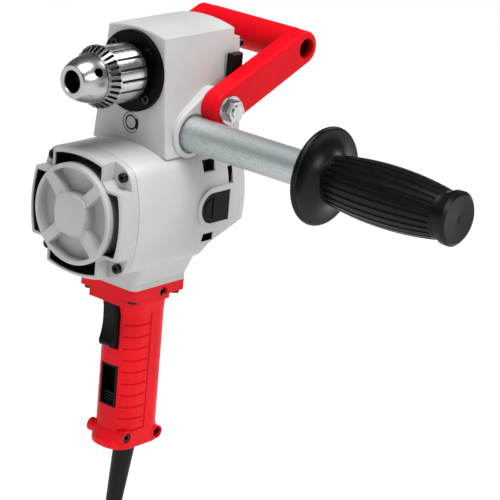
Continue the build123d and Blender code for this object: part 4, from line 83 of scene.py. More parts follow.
class Field:
    """A value that changes over a surface: one output socket, with arithmetic in Math nodes."""

    def __init__(self, sheet: "Sheet", socket: bpy.types.NodeSocket) -> None:
        """Keep the sheet and the socket.

        Args:
            sheet: the material's node sheet.
            socket: the output socket that carries the value.
        """
        self.sheet = sheet
        self.socket = socket

    def _math(self, operation: str, first: Number, second: Number) -> "Field":
        """Math node of two values."""
        return self.sheet.node("ShaderNodeMath", {"operation": operation}, {0: first, 1: second})

    def __add__(self, other: Number) -> "Field":
        """Sum."""
        return self._math("ADD", self, other)

    def __radd__(self, other: Number) -> "Field":
        """Sum, the number first."""
        return self._math("ADD", other, self)

    def __sub__(self, other: Number) -> "Field":
        """Difference."""
        return self._math("SUBTRACT", self, other)

    def __rsub__(self, other: Number) -> "Field":
        """Difference, the number first."""
        return self._math("SUBTRACT", other, self)

    def __mul__(self, other: Number) -> "Field":
        """Product."""
        return self._math("MULTIPLY", self, other)

    def __rmul__(self, other: Number) -> "Field":
        """Product, the number first."""
        return self._math("MULTIPLY", other, self)

    def size(self) -> "Field":
        """Value without its sign."""
        return self._math("ABSOLUTE", self, 0.0)

    def least(self, other: Number) -> "Field":
        """Smaller of two values."""
        return self._math("MINIMUM", self, other)

    def most(self, other: Number) -> "Field":
        """Larger of two values."""
        return self._math("MAXIMUM", self, other)

    def step(self, low: float, high: float, way: str = "SMOOTHSTEP") -> "Field":
        """Rise from 0 at low to 1 at high.

        Args:
            low: the value that gives 0.
            high: the value that gives 1.
            way: how it rises, smoothly or as "LINEAR".

        Returns:
            The risen value, held between 0 and 1.
        """
        return self.sheet.node(
            "ShaderNodeMapRange",
            {"interpolation_type": way},
            {"Value": self, "From Min": low, "From Max": high, "To Min": 0.0, "To Max": 1.0},
        )

    def under(self, limit: float, blur: float = MASK_BLUR) -> "Field":
        """Value that is 1 up to a limit and fades to 0 over the blur past it."""
        return 1.0 - self.step(limit, limit + blur)

    def within(self, low: float, high: float) -> "Field":
        """Value that is 1 between low and high and 0 outside, with soft ends."""
        return self.step(low - MASK_BLUR, low) * self.under(high)


class Sheet:
    """Node sheet of one material, ending in one Principled shader."""

    def __init__(self, name: str) -> None:
        """Start an empty material.

        Args:
            name: the material's name.
        """
        self.material = bpy.data.materials.new(name)
        self.material.use_nodes = True
        self.tree = self.material.node_tree
        self.tree.nodes.clear()
        self.shader = self.tree.nodes.new("ShaderNodeBsdfPrincipled")
        output = self.tree.nodes.new("ShaderNodeOutputMaterial")
        self.tree.links.new(self.shader.outputs["BSDF"], output.inputs["Surface"])
        self._place: Field | None = None

    def node(
        self,
        kind: str,
        settings: Mapping[str, Any] | None = None,
        sockets: Mapping[Any, Any] | None = None,
        out: Any = 0,
    ) -> Field:
        """Any node: its settings first, then the values or links of its sockets.

        Args:
            kind: the node's type name.
            settings: attributes of the node.
            sockets: input names or numbers with a value or a field each.
            out: the output that is returned.

        Returns:
            The chosen output as a field.
        """
        made = self.tree.nodes.new(kind)
        for key, value in (settings or {}).items():
            setattr(made, key, value)
        for key, value in (sockets or {}).items():
            self.feed(made.inputs[key], value)
        return Field(self, made.outputs[out])

    def feed(self, socket: bpy.types.NodeSocket, value: Any) -> None:
        """Link a field to a socket, or set a plain value on it.

        Args:
            socket: the input socket.
            value: a field, a number or a tuple.
        """
        if isinstance(value, Field):
            self.tree.links.new(value.socket, socket)
        else:
            socket.default_value = value

    def place(self) -> Field:
        """Object coordinates, made once.

        Returns:
            The coordinates as a field.
        """
        if self._place is None:
            self._place = self.node("ShaderNodeTexCoord", out="Object")
        return self._place

    def axis(self, name: str) -> Field:
        """One coordinate of the place, in metres."""
        return self.node("ShaderNodeSeparateXYZ", sockets={0: self.place()}, out="XYZ".index(name))

    def radius(self, along: str, centre: Sequence[float]) -> Field:
        """Distance from a line along X, Y or Z, in metres.

        Args:
            along: the line's direction.
            centre: a point on the line.

        Returns:
            The distance as a field.
        """
        across = [0.0 if name == along else 1.0 for name in "XYZ"]
        flat = self.stretched(across, [-part for part in centre])
        return self.node("ShaderNodeVectorMath", {"operation": "LENGTH"}, {0: flat}, out="Value")

    def stretched(self, scale: Sequence[float], move: Sequence[float] = (0, 0, 0)) -> Field:
        """Object coordinates moved, then scaled along each axis.

        Args:
            scale: the factor of each axis.
            move: how far they are moved first.

        Returns:
            The new coordinates as a field.
        """
        kind = "ShaderNodeVectorMath"
        moved = self.node(kind, {"operation": "ADD"}, {0: self.place(), 1: tuple(move)})
        return self.node(kind, {"operation": "MULTIPLY"}, {0: moved, 1: tuple(scale)})

    def noise(
        self, scale: float, detail: float = 3.0, rough: float = 0.55, at: Field | None = None
    ) -> Field:
        """Cloudy value between 0 and 1.

        Args:
            scale: lumps to the metre.
            detail: octaves.
            rough: weight of the finer octaves.
            at: where it is read, the place if none is given.

        Returns:
            The value as a field.
        """
        return self.node(
            "ShaderNodeTexNoise",
            {"noise_dimensions": "3D"},
            {"Vector": at or self.place(), "Scale": scale, "Detail": detail, "Roughness": rough},
        )

    def cells(self, scale: float) -> Field:
        """Distance to the nearest of many scattered points, in cells."""
        sockets = {"Vector": self.place(), "Scale": scale}
        return self.node("ShaderNodeTexVoronoi", {}, sockets, out="Distance")

    def flakes(self, at: Field) -> Field:
        """A grey of its own for each of many scattered cells, one to a unit of the coordinates."""
        colour = self.node("ShaderNodeTexVoronoi", {}, {"Vector": at, "Scale": 1.0}, out="Color")
        return self.node("ShaderNodeSeparateColor", {}, {0: colour})

    def mix(self, share: Number, first: Any, second: Any) -> Field:
        """Colour between two colours.

        Args:
            share: how much of the second.
            first: colour or field at 0.
            second: colour or field at 1.

        Returns:
            The mixed colour.
        """
        ends = {MIX_FIRST: first, MIX_SECOND: second}
        ready = {
            key: value if isinstance(value, Field) else rgba(value) for key, value in ends.items()
        }
        return self.node(
            "ShaderNodeMix", {"data_type": "RGBA"}, {0: share, **ready}, out=MIX_RESULT
        )

    def edges(self, radius: float) -> Field:
        """Normal that rounds sharp edges over a radius in metres."""
        settings = {"samples": EDGE_SAMPLES}
        return self.node("ShaderNodeBevel", settings, {"Radius": radius}, out="Normal")

    def bump(self, height: Number, depth: float, under: Field | None = None) -> Field:
        """Normal of a height field.

        Args:
            height: value between 0 and 1.
            depth: height of 1, in metres.
            under: the normal that it lies on.

        Returns:
            The bumped normal.
        """
        sockets: dict[str, Any] = {"Height": height, "Distance": depth, "Strength": 1.0}
        if under is not None:
            sockets["Normal"] = under
        return self.node("ShaderNodeBump", {}, sockets)

    def finish(self, **inputs: Any) -> bpy.types.Material:
        """Feed the shader's inputs, underscores standing for spaces.

        Args:
            inputs: values or fields by input name.

        Returns:
            The finished material.
        """
        for key, value in inputs.items():
            self.feed(self.shader.inputs[key.replace("_", " ")], value)
        return self.material


# Finishes. A noise is given by its lumps to the metre and its octaves, and a spread of roughness by
# what it adds where the noise is 0 and by its rise from there to where the noise is 1.


@dataclass(frozen=True)
class CastPaint:
    """Satin lacquer on a casting: faint clouds, fine orange peel and soft edges."""

    colour: Colour
    rough: float = 0.42
    peel: float = 0.00002
    edge: float = 0.0009
    specular: float = 0.4
    # Colour painted into recesses and vents as shade
    painted_shade_colour: Colour = (0.012, 0.012, 0.012)
    shades: Span = (0.93, 1.03)
    cloud: Span = (18.0, 4.0)
    specks: Span = (900.0, 2.0)
    lumps: Span = (260.0, 2.0)
    speck_share: float = 0.6
    wear: Span = (60.0, 3.0)
    rough_spread: Span = (-0.05, 0.12)

    def painted_shade_mask(self, sheet: Sheet) -> Field | None:
        """Value that is 1 where shade is painted: nowhere on a plain piece."""
        return None

    def make(self, name: str) -> bpy.types.Material:
        """Build the material.

        Args:
            name: the material's name.

        Returns:
            The material.
        """
        sheet = Sheet(name)
        dark, light = (shaded(self.colour, by) for by in self.shades)
        colour = sheet.mix(sheet.noise(*self.cloud).step(*CLOUD_BAND), dark, light)
        # Recesses given by a subclass are painted dark here as shade
        painted_shade_mask = self.painted_shade_mask(sheet)
        if painted_shade_mask is not None:
            colour = sheet.mix(painted_shade_mask, colour, self.painted_shade_colour)
        specks = self.speck_share * sheet.noise(*self.specks)
        peel = specks + (1 - self.speck_share) * sheet.noise(*self.lumps)
        base, rise = self.rough_spread
        return sheet.finish(
            Base_Color=colour,
            Roughness=self.rough + base + rise * sheet.noise(*self.wear),
            Normal=sheet.bump(peel, self.peel, sheet.edges(self.edge)),
            Specular_IOR_Level=self.specular,
        )


@dataclass(frozen=True)
class Vent:
    """Small vent in the barrel's side: its middle, its size, and how far out it is painted dark as
    shade.
    """

    middle_y: float
    rise: float
    length: float
    height: float
    skin_x: float


@dataclass(frozen=True)
class HousingPaint(CastPaint):
    """Casting paint with painted shade in the motor bore, on the seam face and in the barrel's side
    vents.
    """

    motor_z: float = 0.133
    bore: float = 0.0455
    seam_y: float = -0.0537
    seam_blur: float = 0.0002
    vents: tuple[Vent, ...] = (
        Vent(0.0245, 0.032, 0.013, 0.009, 0.0422),
        Vent(0.047, 0.022, 0.005, 0.013, 0.0449),
        Vent(0.0265, -0.024, 0.012, 0.0065, 0.0445),
    )

    def painted_shade_mask(self, sheet: Sheet) -> Field:
        """Places painted dark as shade: the bore, the hidden seam face and each vent's box.

        Args:
            sheet: the material's node sheet.

        Returns:
            Value that is 1 there.
        """
        x, y, z = (sheet.axis(name) for name in "XYZ")
        shaded_area = sheet.radius("Y", (0.0, 0.0, self.motor_z)).under(self.bore)
        shaded_area = shaded_area.most(y.under(self.seam_y - self.seam_blur, self.seam_blur))
        for vent in self.vents:
            middle_z = self.motor_z + vent.rise
            along = y.within(vent.middle_y - vent.length / 2, vent.middle_y + vent.length / 2)
            up = z.within(middle_z - vent.height / 2, middle_z + vent.height / 2)
            shaded_area = shaded_area.most(along * up * x.size().under(vent.skin_x - MASK_BLUR))
        return shaded_area


@dataclass(frozen=True)
class GrillePaint(CastPaint):
    """Casting paint on the end cap's face, with painted shade inside the four curved vents."""

    motor_z: float = 0.133
    disc: Span = (0.0383, 0.0386)
    floor_y: Span = (-0.0714, -0.0704)
    outer: float = 0.0462
    crown: float = 0.192
    half_length: float = 0.0242
    wall_blur: float = 0.0004

    def painted_shade_mask(self, sheet: Sheet) -> Field:
        """Places painted dark as shade: below the rim, outside the disc and inside the rim's bowed
        wall.

        Args:
            sheet: the material's node sheet.

        Returns:
            Value that is 1 there.
        """
        across = sheet.axis("X").size()
        upright = (sheet.axis("Z") - self.motor_z).size()
        far = across.most(upright)
        near = across.least(upright)
        bowed = far + near * near * (1.0 / self.crown)
        ring = sheet.radius("Y", (0.0, 0.0, self.motor_z)).step(*self.disc)
        deep = sheet.axis("Y").step(*self.floor_y)
        inside = bowed.under(self.outer, self.wall_blur)
        return ring * deep * inside * near.under(self.half_length, self.wall_blur)


@dataclass(frozen=True)
class BoredPaint(CastPaint):
    """Gloss paint on the bail handle, with painted shade inside the bores at its corners."""

    bar: Span = (0.1123, 0.2470)
    bore: float = 0.0081
    mouth_x: float = 0.0545
    mouth_fade: float = 0.006

    def painted_shade_mask(self, sheet: Sheet) -> Field:
        """Painted shade: value that is 1 inside the two bores and fades towards their mouths."""
        fade = sheet.axis("X").size().under(self.mouth_x - self.mouth_fade, self.mouth_fade)
        return fade * sheet.radius("X", (0.0, *self.bar)).under(self.bore)


@dataclass(frozen=True)
class SunkPaint(CastPaint):
    """Grey paint on the countershaft plug and its ring, with painted shade in the groove and round
    the rim.
    """

    axis_z: float = 0.195
    groove_y: Span = (-0.0184, -0.0181)
    rim: Span = (0.0074, 0.0077)

    def painted_shade_mask(self, sheet: Sheet) -> Field:
        """Painted shade: value that is 1 below the face and past the rim."""
        past_rim = sheet.radius("Y", (0.0, 0.0, self.axis_z)).step(*self.rim)
        return sheet.axis("Y").step(*self.groove_y).most(past_rim)


@dataclass(frozen=True)
class Moulding:
    """Moulded plastic: spark-eroded grain, faint flow clouds and soft edges."""

    colour: Colour
    rough: float = 0.4
    grain: float = 0.00003
    scale: float = 1500.0
    edge: float = 0.0006
    specular: float = 0.45
    shades: Span = (0.88, 1.08)
    flow: Span = (25.0, 3.0)
    wear: Span = (90.0, 2.0)
    rough_spread: Span = (-0.06, 0.12)

    def make(self, name: str) -> bpy.types.Material:
        """Build the material.

        Args:
            name: the material's name.

        Returns:
            The material.
        """
        sheet = Sheet(name)
        dark, light = (shaded(self.colour, by) for by in self.shades)
        base, rise = self.rough_spread
        return sheet.finish(
            Base_Color=sheet.mix(sheet.noise(*self.flow).step(*CLOUD_BAND), dark, light),
            Roughness=self.rough + base + rise * sheet.noise(*self.wear),
            Normal=sheet.bump(sheet.cells(self.scale), self.grain, sheet.edges(self.edge)),
            Specular_IOR_Level=self.specular,
        )


@dataclass(frozen=True)
class TurnedSteel:
    """Bright steel turned round the spindle: fine rings, faint clouds, painted shade in slots and
    holes.

    The turned outline is the nose's radius plus the rises, each from its start to its end along Y.
    """

    colour: Colour
    rough: float
    ring_depth: float
    ring_shade: float
    # Share of the colour left on the sleeve's toothed end, as painted shade
    tooth_painted_shade: float = 1.0
    # Share of the colour left in slots and holes, as painted shade
    groove_shade: float = 0.03
    ring_scale: tuple[float, float, float] = (30.0, 2600.0, 30.0)
    ring_detail: float = 2.0
    ring_weight: float = 0.7
    cloud: Span = (120.0, 3.0)
    worn_band: Span = (0.3, 0.75)
    ring_rough: Span = (-0.05, 0.16)
    groove_rough: float = 0.2
    edge: float = 0.0003
    spindle_z: float = 0.235
    tooth_end: Span = (-0.0578, -0.0572)
    nose_face: Span = (-0.0837, -0.0833)
    groove_depth: Span = (0.0004, 0.0011)
    nose: float = 0.0126
    rises: tuple[tuple[float, float, float], ...] = (
        (-0.0840, -0.0765, 0.0033),
        (-0.0765, -0.0649, 0.0022),
        (-0.0647, -0.0578, 0.0055),
        (-0.0560, -0.0548, -0.0017),
    )

    def grooves(self, sheet: Sheet) -> Field:
        """Places below the turned outline, past the nose's flat face.

        Args:
            sheet: the material's node sheet.

        Returns:
            Value that is 1 there.
        """
        y = sheet.axis("Y")
        outline: Number = self.nose
        for start, end, rise in self.rises:
            outline = outline + rise * y.step(start, end, "LINEAR")
        sunk = outline - sheet.radius("Y", (0.0, 0.0, self.spindle_z))
        return sunk.step(*self.groove_depth) * y.step(*self.nose_face)

    def make(self, name: str) -> bpy.types.Material:
        """Build the material.

        Args:
            name: the material's name.

        Returns:
            The material.
        """
        sheet = Sheet(name)
        turned = sheet.stretched(self.ring_scale)
        rings = sheet.noise(1.0, self.ring_detail, self.ring_weight, turned)
        cloud = sheet.noise(*self.cloud)
        grooves = self.grooves(sheet)
        worn = (0.5 * rings + 0.5 * cloud).step(*self.worn_band)
        bright = sheet.mix(worn, shaded(self.colour, self.ring_shade), self.colour)
        # The toothed end is darkened here as painted shade
        shaded_teeth = shaded(self.colour, self.tooth_painted_shade)
        steel = sheet.mix(sheet.axis("Y").step(*self.tooth_end), shaded_teeth, bright)
        base, rise = self.ring_rough
        # Slots and holes below the turned outline are painted dark as shade and made rougher
        return sheet.finish(
            Base_Color=sheet.mix(grooves, steel, shaded(self.colour, self.groove_shade)),
            Metallic=1.0,
            Roughness=self.rough + base + rise * rings + self.groove_rough * grooves,
            Normal=sheet.bump(rings, self.ring_depth, sheet.edges(self.edge)),
        )


@dataclass(frozen=True)
class ZincTube:
    """Zinc on steel tube: spangle flakes drawn out along X and a dull bloom."""

    colour: Colour
    bloom: Colour
    rough: float
    drawn_scale: tuple[float, float, float] = (150.0, 700.0, 700.0)
    drawn_detail: float = 4.0
    drawn_weight: float = 0.6
    drawn_share: float = 0.6
    flake_scale: tuple[float, float, float] = (900.0, 1600.0, 1600.0)
    bloom_band: Span = (0.2, 0.8)
    rough_spread: Span = (0.06, -0.1)
    relief: float = 0.000008
    edge: float = 0.0005

    def make(self, name: str) -> bpy.types.Material:
        """Build the material.

        Args:
            name: the material's name.

        Returns:
            The material.
        """
        sheet = Sheet(name)
        along = sheet.stretched(self.drawn_scale)
        drawn = sheet.noise(1.0, self.drawn_detail, self.drawn_weight, along)
        flakes = sheet.flakes(sheet.stretched(self.flake_scale))
        spangle = self.drawn_share * drawn + (1 - self.drawn_share) * flakes
        share = spangle.step(*self.bloom_band)
        base, rise = self.rough_spread
        return sheet.finish(
            Base_Color=sheet.mix(share, self.bloom, self.colour),
            Metallic=1.0,
            Roughness=self.rough + base + rise * share,
            Normal=sheet.bump(drawn, self.relief, sheet.edges(self.edge)),
        )


@dataclass(frozen=True)
class PlainMetal:
    """Machined or plated metal: brushed clouds and soft edges."""

    colour: Colour
    rough: float
    metallic: float = 1.0
    shade: float = 0.75
    cloud: Span = (160.0, 4.0)
    fine: Span = (2200.0, 2.0)
    rough_spread: Span = (-0.06, 0.14)
    relief: float = 0.000008
    edge: float = 0.0003

    def make(self, name: str) -> bpy.types.Material:
        """Build the material.

        Args:
            name: the material's name.

        Returns:
            The material.
        """
        sheet = Sheet(name)
        cloud = sheet.noise(*self.cloud)
        dark = shaded(self.colour, self.shade)
        base, rise = self.rough_spread
        return sheet.finish(
            Base_Color=sheet.mix(cloud.step(*CLOUD_BAND), dark, self.colour),
            Metallic=self.metallic,
            Roughness=self.rough + base + rise * cloud,
            Normal=sheet.bump(sheet.noise(*self.fine), self.relief, sheet.edges(self.edge)),
        )


@dataclass(frozen=True)
class WoundCopper:
    """Enamelled wire laid side by side along X."""

    colour: Colour
    pitch: float = 0.0012
    waver: float = 0.6
    waver_detail: float = 1.0
    gap_shade: float = 0.45
    metallic: float = 0.8
    rough_spread: Span = (0.3, 0.2)
    relief: float = 0.0002

    def make(self, name: str) -> bpy.types.Material:
        """Build the material.

        Args:
            name: the material's name.

        Returns:
            The material.
        """
        sheet = Sheet(name)
        wires = sheet.node(
            "ShaderNodeTexWave",
            {"bands_direction": "X"},
            {
                "Vector": sheet.place(),
                "Scale": WAVE_LENGTH / self.pitch,
                "Distortion": self.waver,
                "Detail": self.waver_detail,
            },
            out="Fac",
        )
        base, rise = self.rough_spread
        return sheet.finish(
            Base_Color=sheet.mix(wires, shaded(self.colour, self.gap_shade), self.colour),
            Metallic=self.metallic,
            Roughness=base + rise * wires,
            Normal=sheet.bump(wires, self.relief),
        )


@dataclass(frozen=True)
class StackedIron:
    """Thin iron sheets stacked along Y."""

    colour: Colour
    sheet_thick: float = 0.0009
    gap_shade: float = 0.5
    metallic: float = 0.9
    wear_scale: float = 200.0
    rough_spread: Span = (0.38, 0.15)
    relief: float = 0.0001

    def make(self, name: str) -> bpy.types.Material:
        """Build the material.

        Args:
            name: the material's name.

        Returns:
            The material.
        """
        sheet = Sheet(name)
        leaves = sheet.node(
            "ShaderNodeTexWave",
            {"bands_direction": "Y"},
            {"Vector": sheet.place(), "Scale": WAVE_LENGTH / self.sheet_thick},
            out="Fac",
        )
        base, rise = self.rough_spread
        return sheet.finish(
            Base_Color=sheet.mix(leaves, shaded(self.colour, self.gap_shade), self.colour),
            Metallic=self.metallic,
            Roughness=base + rise * sheet.noise(self.wear_scale),
            Normal=sheet.bump(leaves, self.relief),
        )


class Finish(Enum):
    """Named finishes of the tool."""

    CAST_GREY = CastPaint((0.56, 0.56, 0.55))
    HOUSING_GREY = HousingPaint((0.56, 0.56, 0.55))
    GRILLE_GREY = GrillePaint((0.51, 0.51, 0.5))
    PLUG_GREY = SunkPaint((0.5, 0.51, 0.5), edge=0.0003)
    # The bail handle's bores are painted dark red here as shade
    RED_PAINT = BoredPaint(
        (0.72, 0.003, 0.011), edge=0.0008, specular=0.08, painted_shade_colour=(0.10, 0.001, 0.002)
    )
    BLACK_OXIDE = CastPaint((0.002, 0.002, 0.0022), rough=0.3, edge=0.0004, specular=0.05)
    RED_PLASTIC = Moulding((0.88, 0.008, 0.017), rough=0.42, grain=0.00002, specular=0.1)
    BLACK_PLASTIC = Moulding((0.003, 0.003, 0.0032), rough=0.32, specular=0.1)
    BLACK_GRIP = Moulding(
        (0.0035, 0.0035, 0.0036), rough=0.32, scale=1100.0, edge=0.0008, specular=0.2
    )
    BLACK_RUBBER = Moulding((0.006, 0.006, 0.006), rough=0.48, scale=900.0, specular=0.22)
    WHITE_PLASTIC = Moulding((0.7, 0.69, 0.64))
    NOSE_STEEL = TurnedSteel((0.48, 0.476, 0.465), rough=0.25, ring_depth=0.00002, ring_shade=0.85)
    SLEEVE_STEEL = TurnedSteel(
        (0.88, 0.875, 0.86), rough=0.22, ring_depth=0.000003, ring_shade=0.92, tooth_painted_shade=0.3
    )
    GEAR_STEEL = PlainMetal((0.5, 0.5, 0.51), rough=0.32)
    ZINC_PLATE = PlainMetal((0.66, 0.67, 0.672), rough=0.24)
    ZINC_PIPE = ZincTube((0.62, 0.67, 0.68), (0.48, 0.525, 0.54), rough=0.52)
    OILED_SCREW = PlainMetal((0.03, 0.03, 0.031), rough=0.2)
    BRASS = PlainMetal((0.72, 0.55, 0.26), rough=0.26)
    CARBON = PlainMetal((0.04, 0.04, 0.04), rough=0.6, metallic=0.3)
    COPPER = WoundCopper((0.70, 0.30, 0.13))
    IRON = StackedIron((0.34, 0.34, 0.35))


class Paintbox:
    """Makes each finish's material once."""

    def __init__(self) -> None:
        """Start with no materials."""
        self.made: dict[Finish, bpy.types.Material] = {}

    def get(self, finish: Finish) -> bpy.types.Material:
        """Material of a finish, made on first use.

        Args:
            finish: the finish.

        Returns:
            Its material.
        """
        if finish not in self.made:
            self.made[finish] = finish.value.make(finish.name.lower())
        return self.made[finish]

    def dress(self, finish: Finish, *nodes: str) -> None:
        """Put a finish on CAD nodes.

        Args:
            finish: the finish.
            nodes: names of the nodes.
        """
        for node in nodes:
            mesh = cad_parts[node].data
            mesh.materials.clear()
            mesh.materials.append(self.get(finish))
            log.info("%s: %s", node, finish.name.lower())


# Surfaces


def put_mesh(name: str, points: np.ndarray, faces: np.ndarray) -> bpy.types.Object:
    """Mesh object from whole arrays.

    Args:
        name: the piece's name.
        points: N by 3 places in metres.
        faces: M by 4 corner numbers.

    Returns:
        The object, linked to the scene, smooth shaded.
    """
    mesh = bpy.data.meshes.new(name)
    starts = np.arange(0, faces.size, faces.shape[1], dtype=np.int32)
    mesh.vertices.add(len(points))
    mesh.vertices.foreach_set("co", np.ascontiguousarray(points, dtype=np.float32).ravel())
    mesh.loops.add(faces.size)
    mesh.loops.foreach_set("vertex_index", np.ascontiguousarray(faces, dtype=np.int32).ravel())
    mesh.polygons.add(len(faces))
    mesh.polygons.foreach_set("loop_start", starts)
    mesh.polygons.foreach_set("use_smooth", np.ones(len(faces), dtype=bool))
    mesh.update(calc_edges=True)
    mesh.validate()
    piece = bpy.data.objects.new(name, mesh)
    bpy.context.scene.collection.objects.link(piece)
    return piece


# Sub-assemblies


@dataclass
class SubAssembly:
    """Part of the tool whose CAD nodes get one finish each."""

    paint: Paintbox
    rows: ClassVar[tuple[tuple[Finish, str], ...]] = ()

    def dress(self) -> None:
        """Finish the nodes of every row."""
        for finish, nodes in self.rows:
            self.paint.dress(finish, *nodes.split())


@dataclass
class Body(SubAssembly):
    """Gear case, motor barrel, end cap and rear cover with the works inside them."""

    rows: ClassVar[tuple[tuple[Finish, str], ...]] = (
        (Finish.HOUSING_GREY, "main_housing"),
        (Finish.GRILLE_GREY, "motor_end_cap"),
        (Finish.CAST_GREY, "gear_cover"),
        (Finish.PLUG_GREY, "countershaft_plug plug_retaining_ring"),
        (Finish.BLACK_OXIDE, "bearing_retainer"),
        (Finish.OILED_SCREW, "retainer_screws end_cap_screws gear_cover_screws"),
        (Finish.BLACK_PLASTIC, "brush_holders brush_caps fan shift_lever"),
        (Finish.CARBON, "carbon_brushes"),
        (Finish.COPPER, "armature_windings field_coils commutator"),
        (Finish.IRON, "armature_core field_core"),
        (Finish.GEAR_STEEL, "spindle spindle_bearings low_gear high_gear shift_collar shift_crank"),
        (Finish.GEAR_STEEL, "countershaft counter_gear high_drive_gear countershaft_bearings"),
        (Finish.GEAR_STEEL, "jackshaft jackshaft_gear jackshaft_bearings"),
        (Finish.GEAR_STEEL, "armature_shaft armature_bearings"),
    )


@dataclass
class Chuck(SubAssembly):
    """Keyed chuck: body, toothed sleeve and jaws."""

    rows: ClassVar[tuple[tuple[Finish, str], ...]] = (
        (Finish.NOSE_STEEL, "chuck_body"),
        (Finish.SLEEVE_STEEL, "chuck_sleeve"),
        (Finish.GEAR_STEEL, "jaw_1 jaw_2 jaw_3"),
    )


@dataclass
class Handles(SubAssembly):
    """Main handle with its switches, bail handle and side handle."""

    rows: ClassVar[tuple[tuple[Finish, str], ...]] = (
        (Finish.RED_PLASTIC, "handle_left handle_right"),
        (Finish.OILED_SCREW, "handle_screws flange_screws"),
        (Finish.BLACK_PLASTIC, "trigger switch_body reversing_switch reversing_slider"),
        (Finish.RED_PAINT, "d_handle"),
        (Finish.ZINC_PLATE, "bail_bolts"),
        (Finish.ZINC_PIPE, "side_handle_pipe"),
        (Finish.BLACK_GRIP, "side_grip"),
    )


@dataclass
class Cord(SubAssembly):
    """Mains lead from the boot down to a tied coil on the floor, with its plug."""

    rows: ClassVar[tuple[tuple[Finish, str], ...]] = (
        (Finish.BLACK_RUBBER, "strain_relief internal_leads plug_body cord_lead cord_coil"),
        (Finish.WHITE_PLASTIC, "cord_clamp"),
        (Finish.BLACK_PLASTIC, "coil_tie"),
        (Finish.BRASS, "plug_prongs"),
    )
    radius: float = 0.0045
    route: tuple[Place, ...] = (
        (0.0, -0.00776, -0.12031),
        (0.0, -0.01120, -0.14204),
        (0.009, -0.015, -0.165),
        (0.030, -0.017, -0.186),
    )
    centre: Place = (0.089, 0.050, -0.1989)
    turn_radius: float = 0.052
    step: float = 0.0099
    turns: float = 3.0
    tail: float = 0.050
    lead_in: float = 0.024
    points_a_turn: int = 16
    length: float = 2.264
    spline_order: int = 3
    spline_middle: float = 0.75
    steps_a_point: int = 6
    round_steps: int = 5

    @property
    def rate(self) -> float:
        """Metres that the coil's radius changes in each radian."""
        return self.step / FULL_TURN

    @property
    def outer(self) -> float:
        """Radius of the coil's outermost turn."""
        return self.turn_radius + self.step * self.turns / 2

    def coil(self, turned: np.ndarray) -> np.ndarray:
        """Places on the coil: inwards along the floor, up a layer in half a turn, out again on top.

        The radius changes at a steady rate. The spline cuts inside its points by a weighted mean of
        each point and its neighbours, so the points are drawn out by that much.

        Args:
            turned: angles since the coil's start, in radians.

        Returns:
            N by 3 places.
        """
        layer = FULL_TURN * self.turns
        inner = self.outer - self.rate * layer
        climbed = np.clip(turned - layer, 0.0, math.pi)
        inward = np.clip(turned, 0.0, layer)
        outward = np.clip(turned - layer - math.pi, 0.0, None)
        dip = climbed * (1 - climbed / math.pi)
        radius = np.where(
            turned <= layer,
            self.outer - self.rate * inward,
            inner - self.rate * dip + self.rate * outward,
        )
        rise = self.step * (1 - np.cos(climbed)) / 2
        beside = math.cos(FULL_TURN / self.points_a_turn)
        drawn = radius / (self.spline_middle + (1 - self.spline_middle) * beside)
        angle = turned - math.pi / 2
        x, y, z = self.centre
        return np.stack((x + drawn * np.cos(angle), y + drawn * np.sin(angle), z + rise), -1)

    def control_points(self) -> np.ndarray:
        """Route from the boot, then the coil's turns, then the straight tail into the plug.

        Returns:
            N by 3 places.
        """
        end = 2 * FULL_TURN * self.turns + math.pi
        turned = np.linspace(0.0, end, round(end / FULL_TURN * self.points_a_turn) + 1)
        slant = math.hypot(self.outer, self.rate)
        arrive = np.array((self.outer, self.rate, 0.0)) / slant
        leave = np.array((-self.outer, self.rate, 0.0)) / slant
        start = np.array(self.centre) + np.array((0.0, -self.outer, 0.0))
        finish = np.array(self.centre) + np.array((0.0, self.outer, self.step))
        foot = start - arrive * 2 * self.radius
        return np.concatenate(
            (
                np.array(self.route),
                (foot - arrive * self.lead_in)[None],
                foot[None],
                self.coil(turned),
                (finish + leave * self.tail / 2)[None],
                (finish + leave * self.tail)[None],
            )
        )

    def build(self) -> bpy.types.Object:
        """Draw the cord as one smooth spline.

        Returns:
            The cord's curve object.
        """
        points = self.control_points()
        curve = bpy.data.curves.new("mains_cord", "CURVE")
        curve.dimensions = "3D"
        spline = curve.splines.new("NURBS")
        spline.points.add(len(points) - 1)
        weighted = np.column_stack((points, np.ones(len(points))))
        spline.points.foreach_set("co", weighted.ravel())
        spline.order_u = self.spline_order
        spline.use_endpoint_u = True
        spline.resolution_u = self.steps_a_point
        curve.bevel_depth = self.radius
        curve.bevel_resolution = self.round_steps
        curve.use_fill_caps = True
        cord = bpy.data.objects.new("mains_cord", curve)
        bpy.context.scene.collection.objects.link(cord)
        curve.materials.append(self.paint.get(Finish.BLACK_RUBBER))
        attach(cord, "housing")
        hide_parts("cord_lead", "cord_coil")
        log.info("mains_cord: %d points", len(points))
        return cord

    def dress(self) -> None:
        super().dress()
        cord = self.build()
        2 * self.radius


@dataclass(frozen=True)
class Lamp:
    """Round soft lamp: its name, place, width in metres and power in watts."""

    name: str
    place: Place
    width: float
    power: float


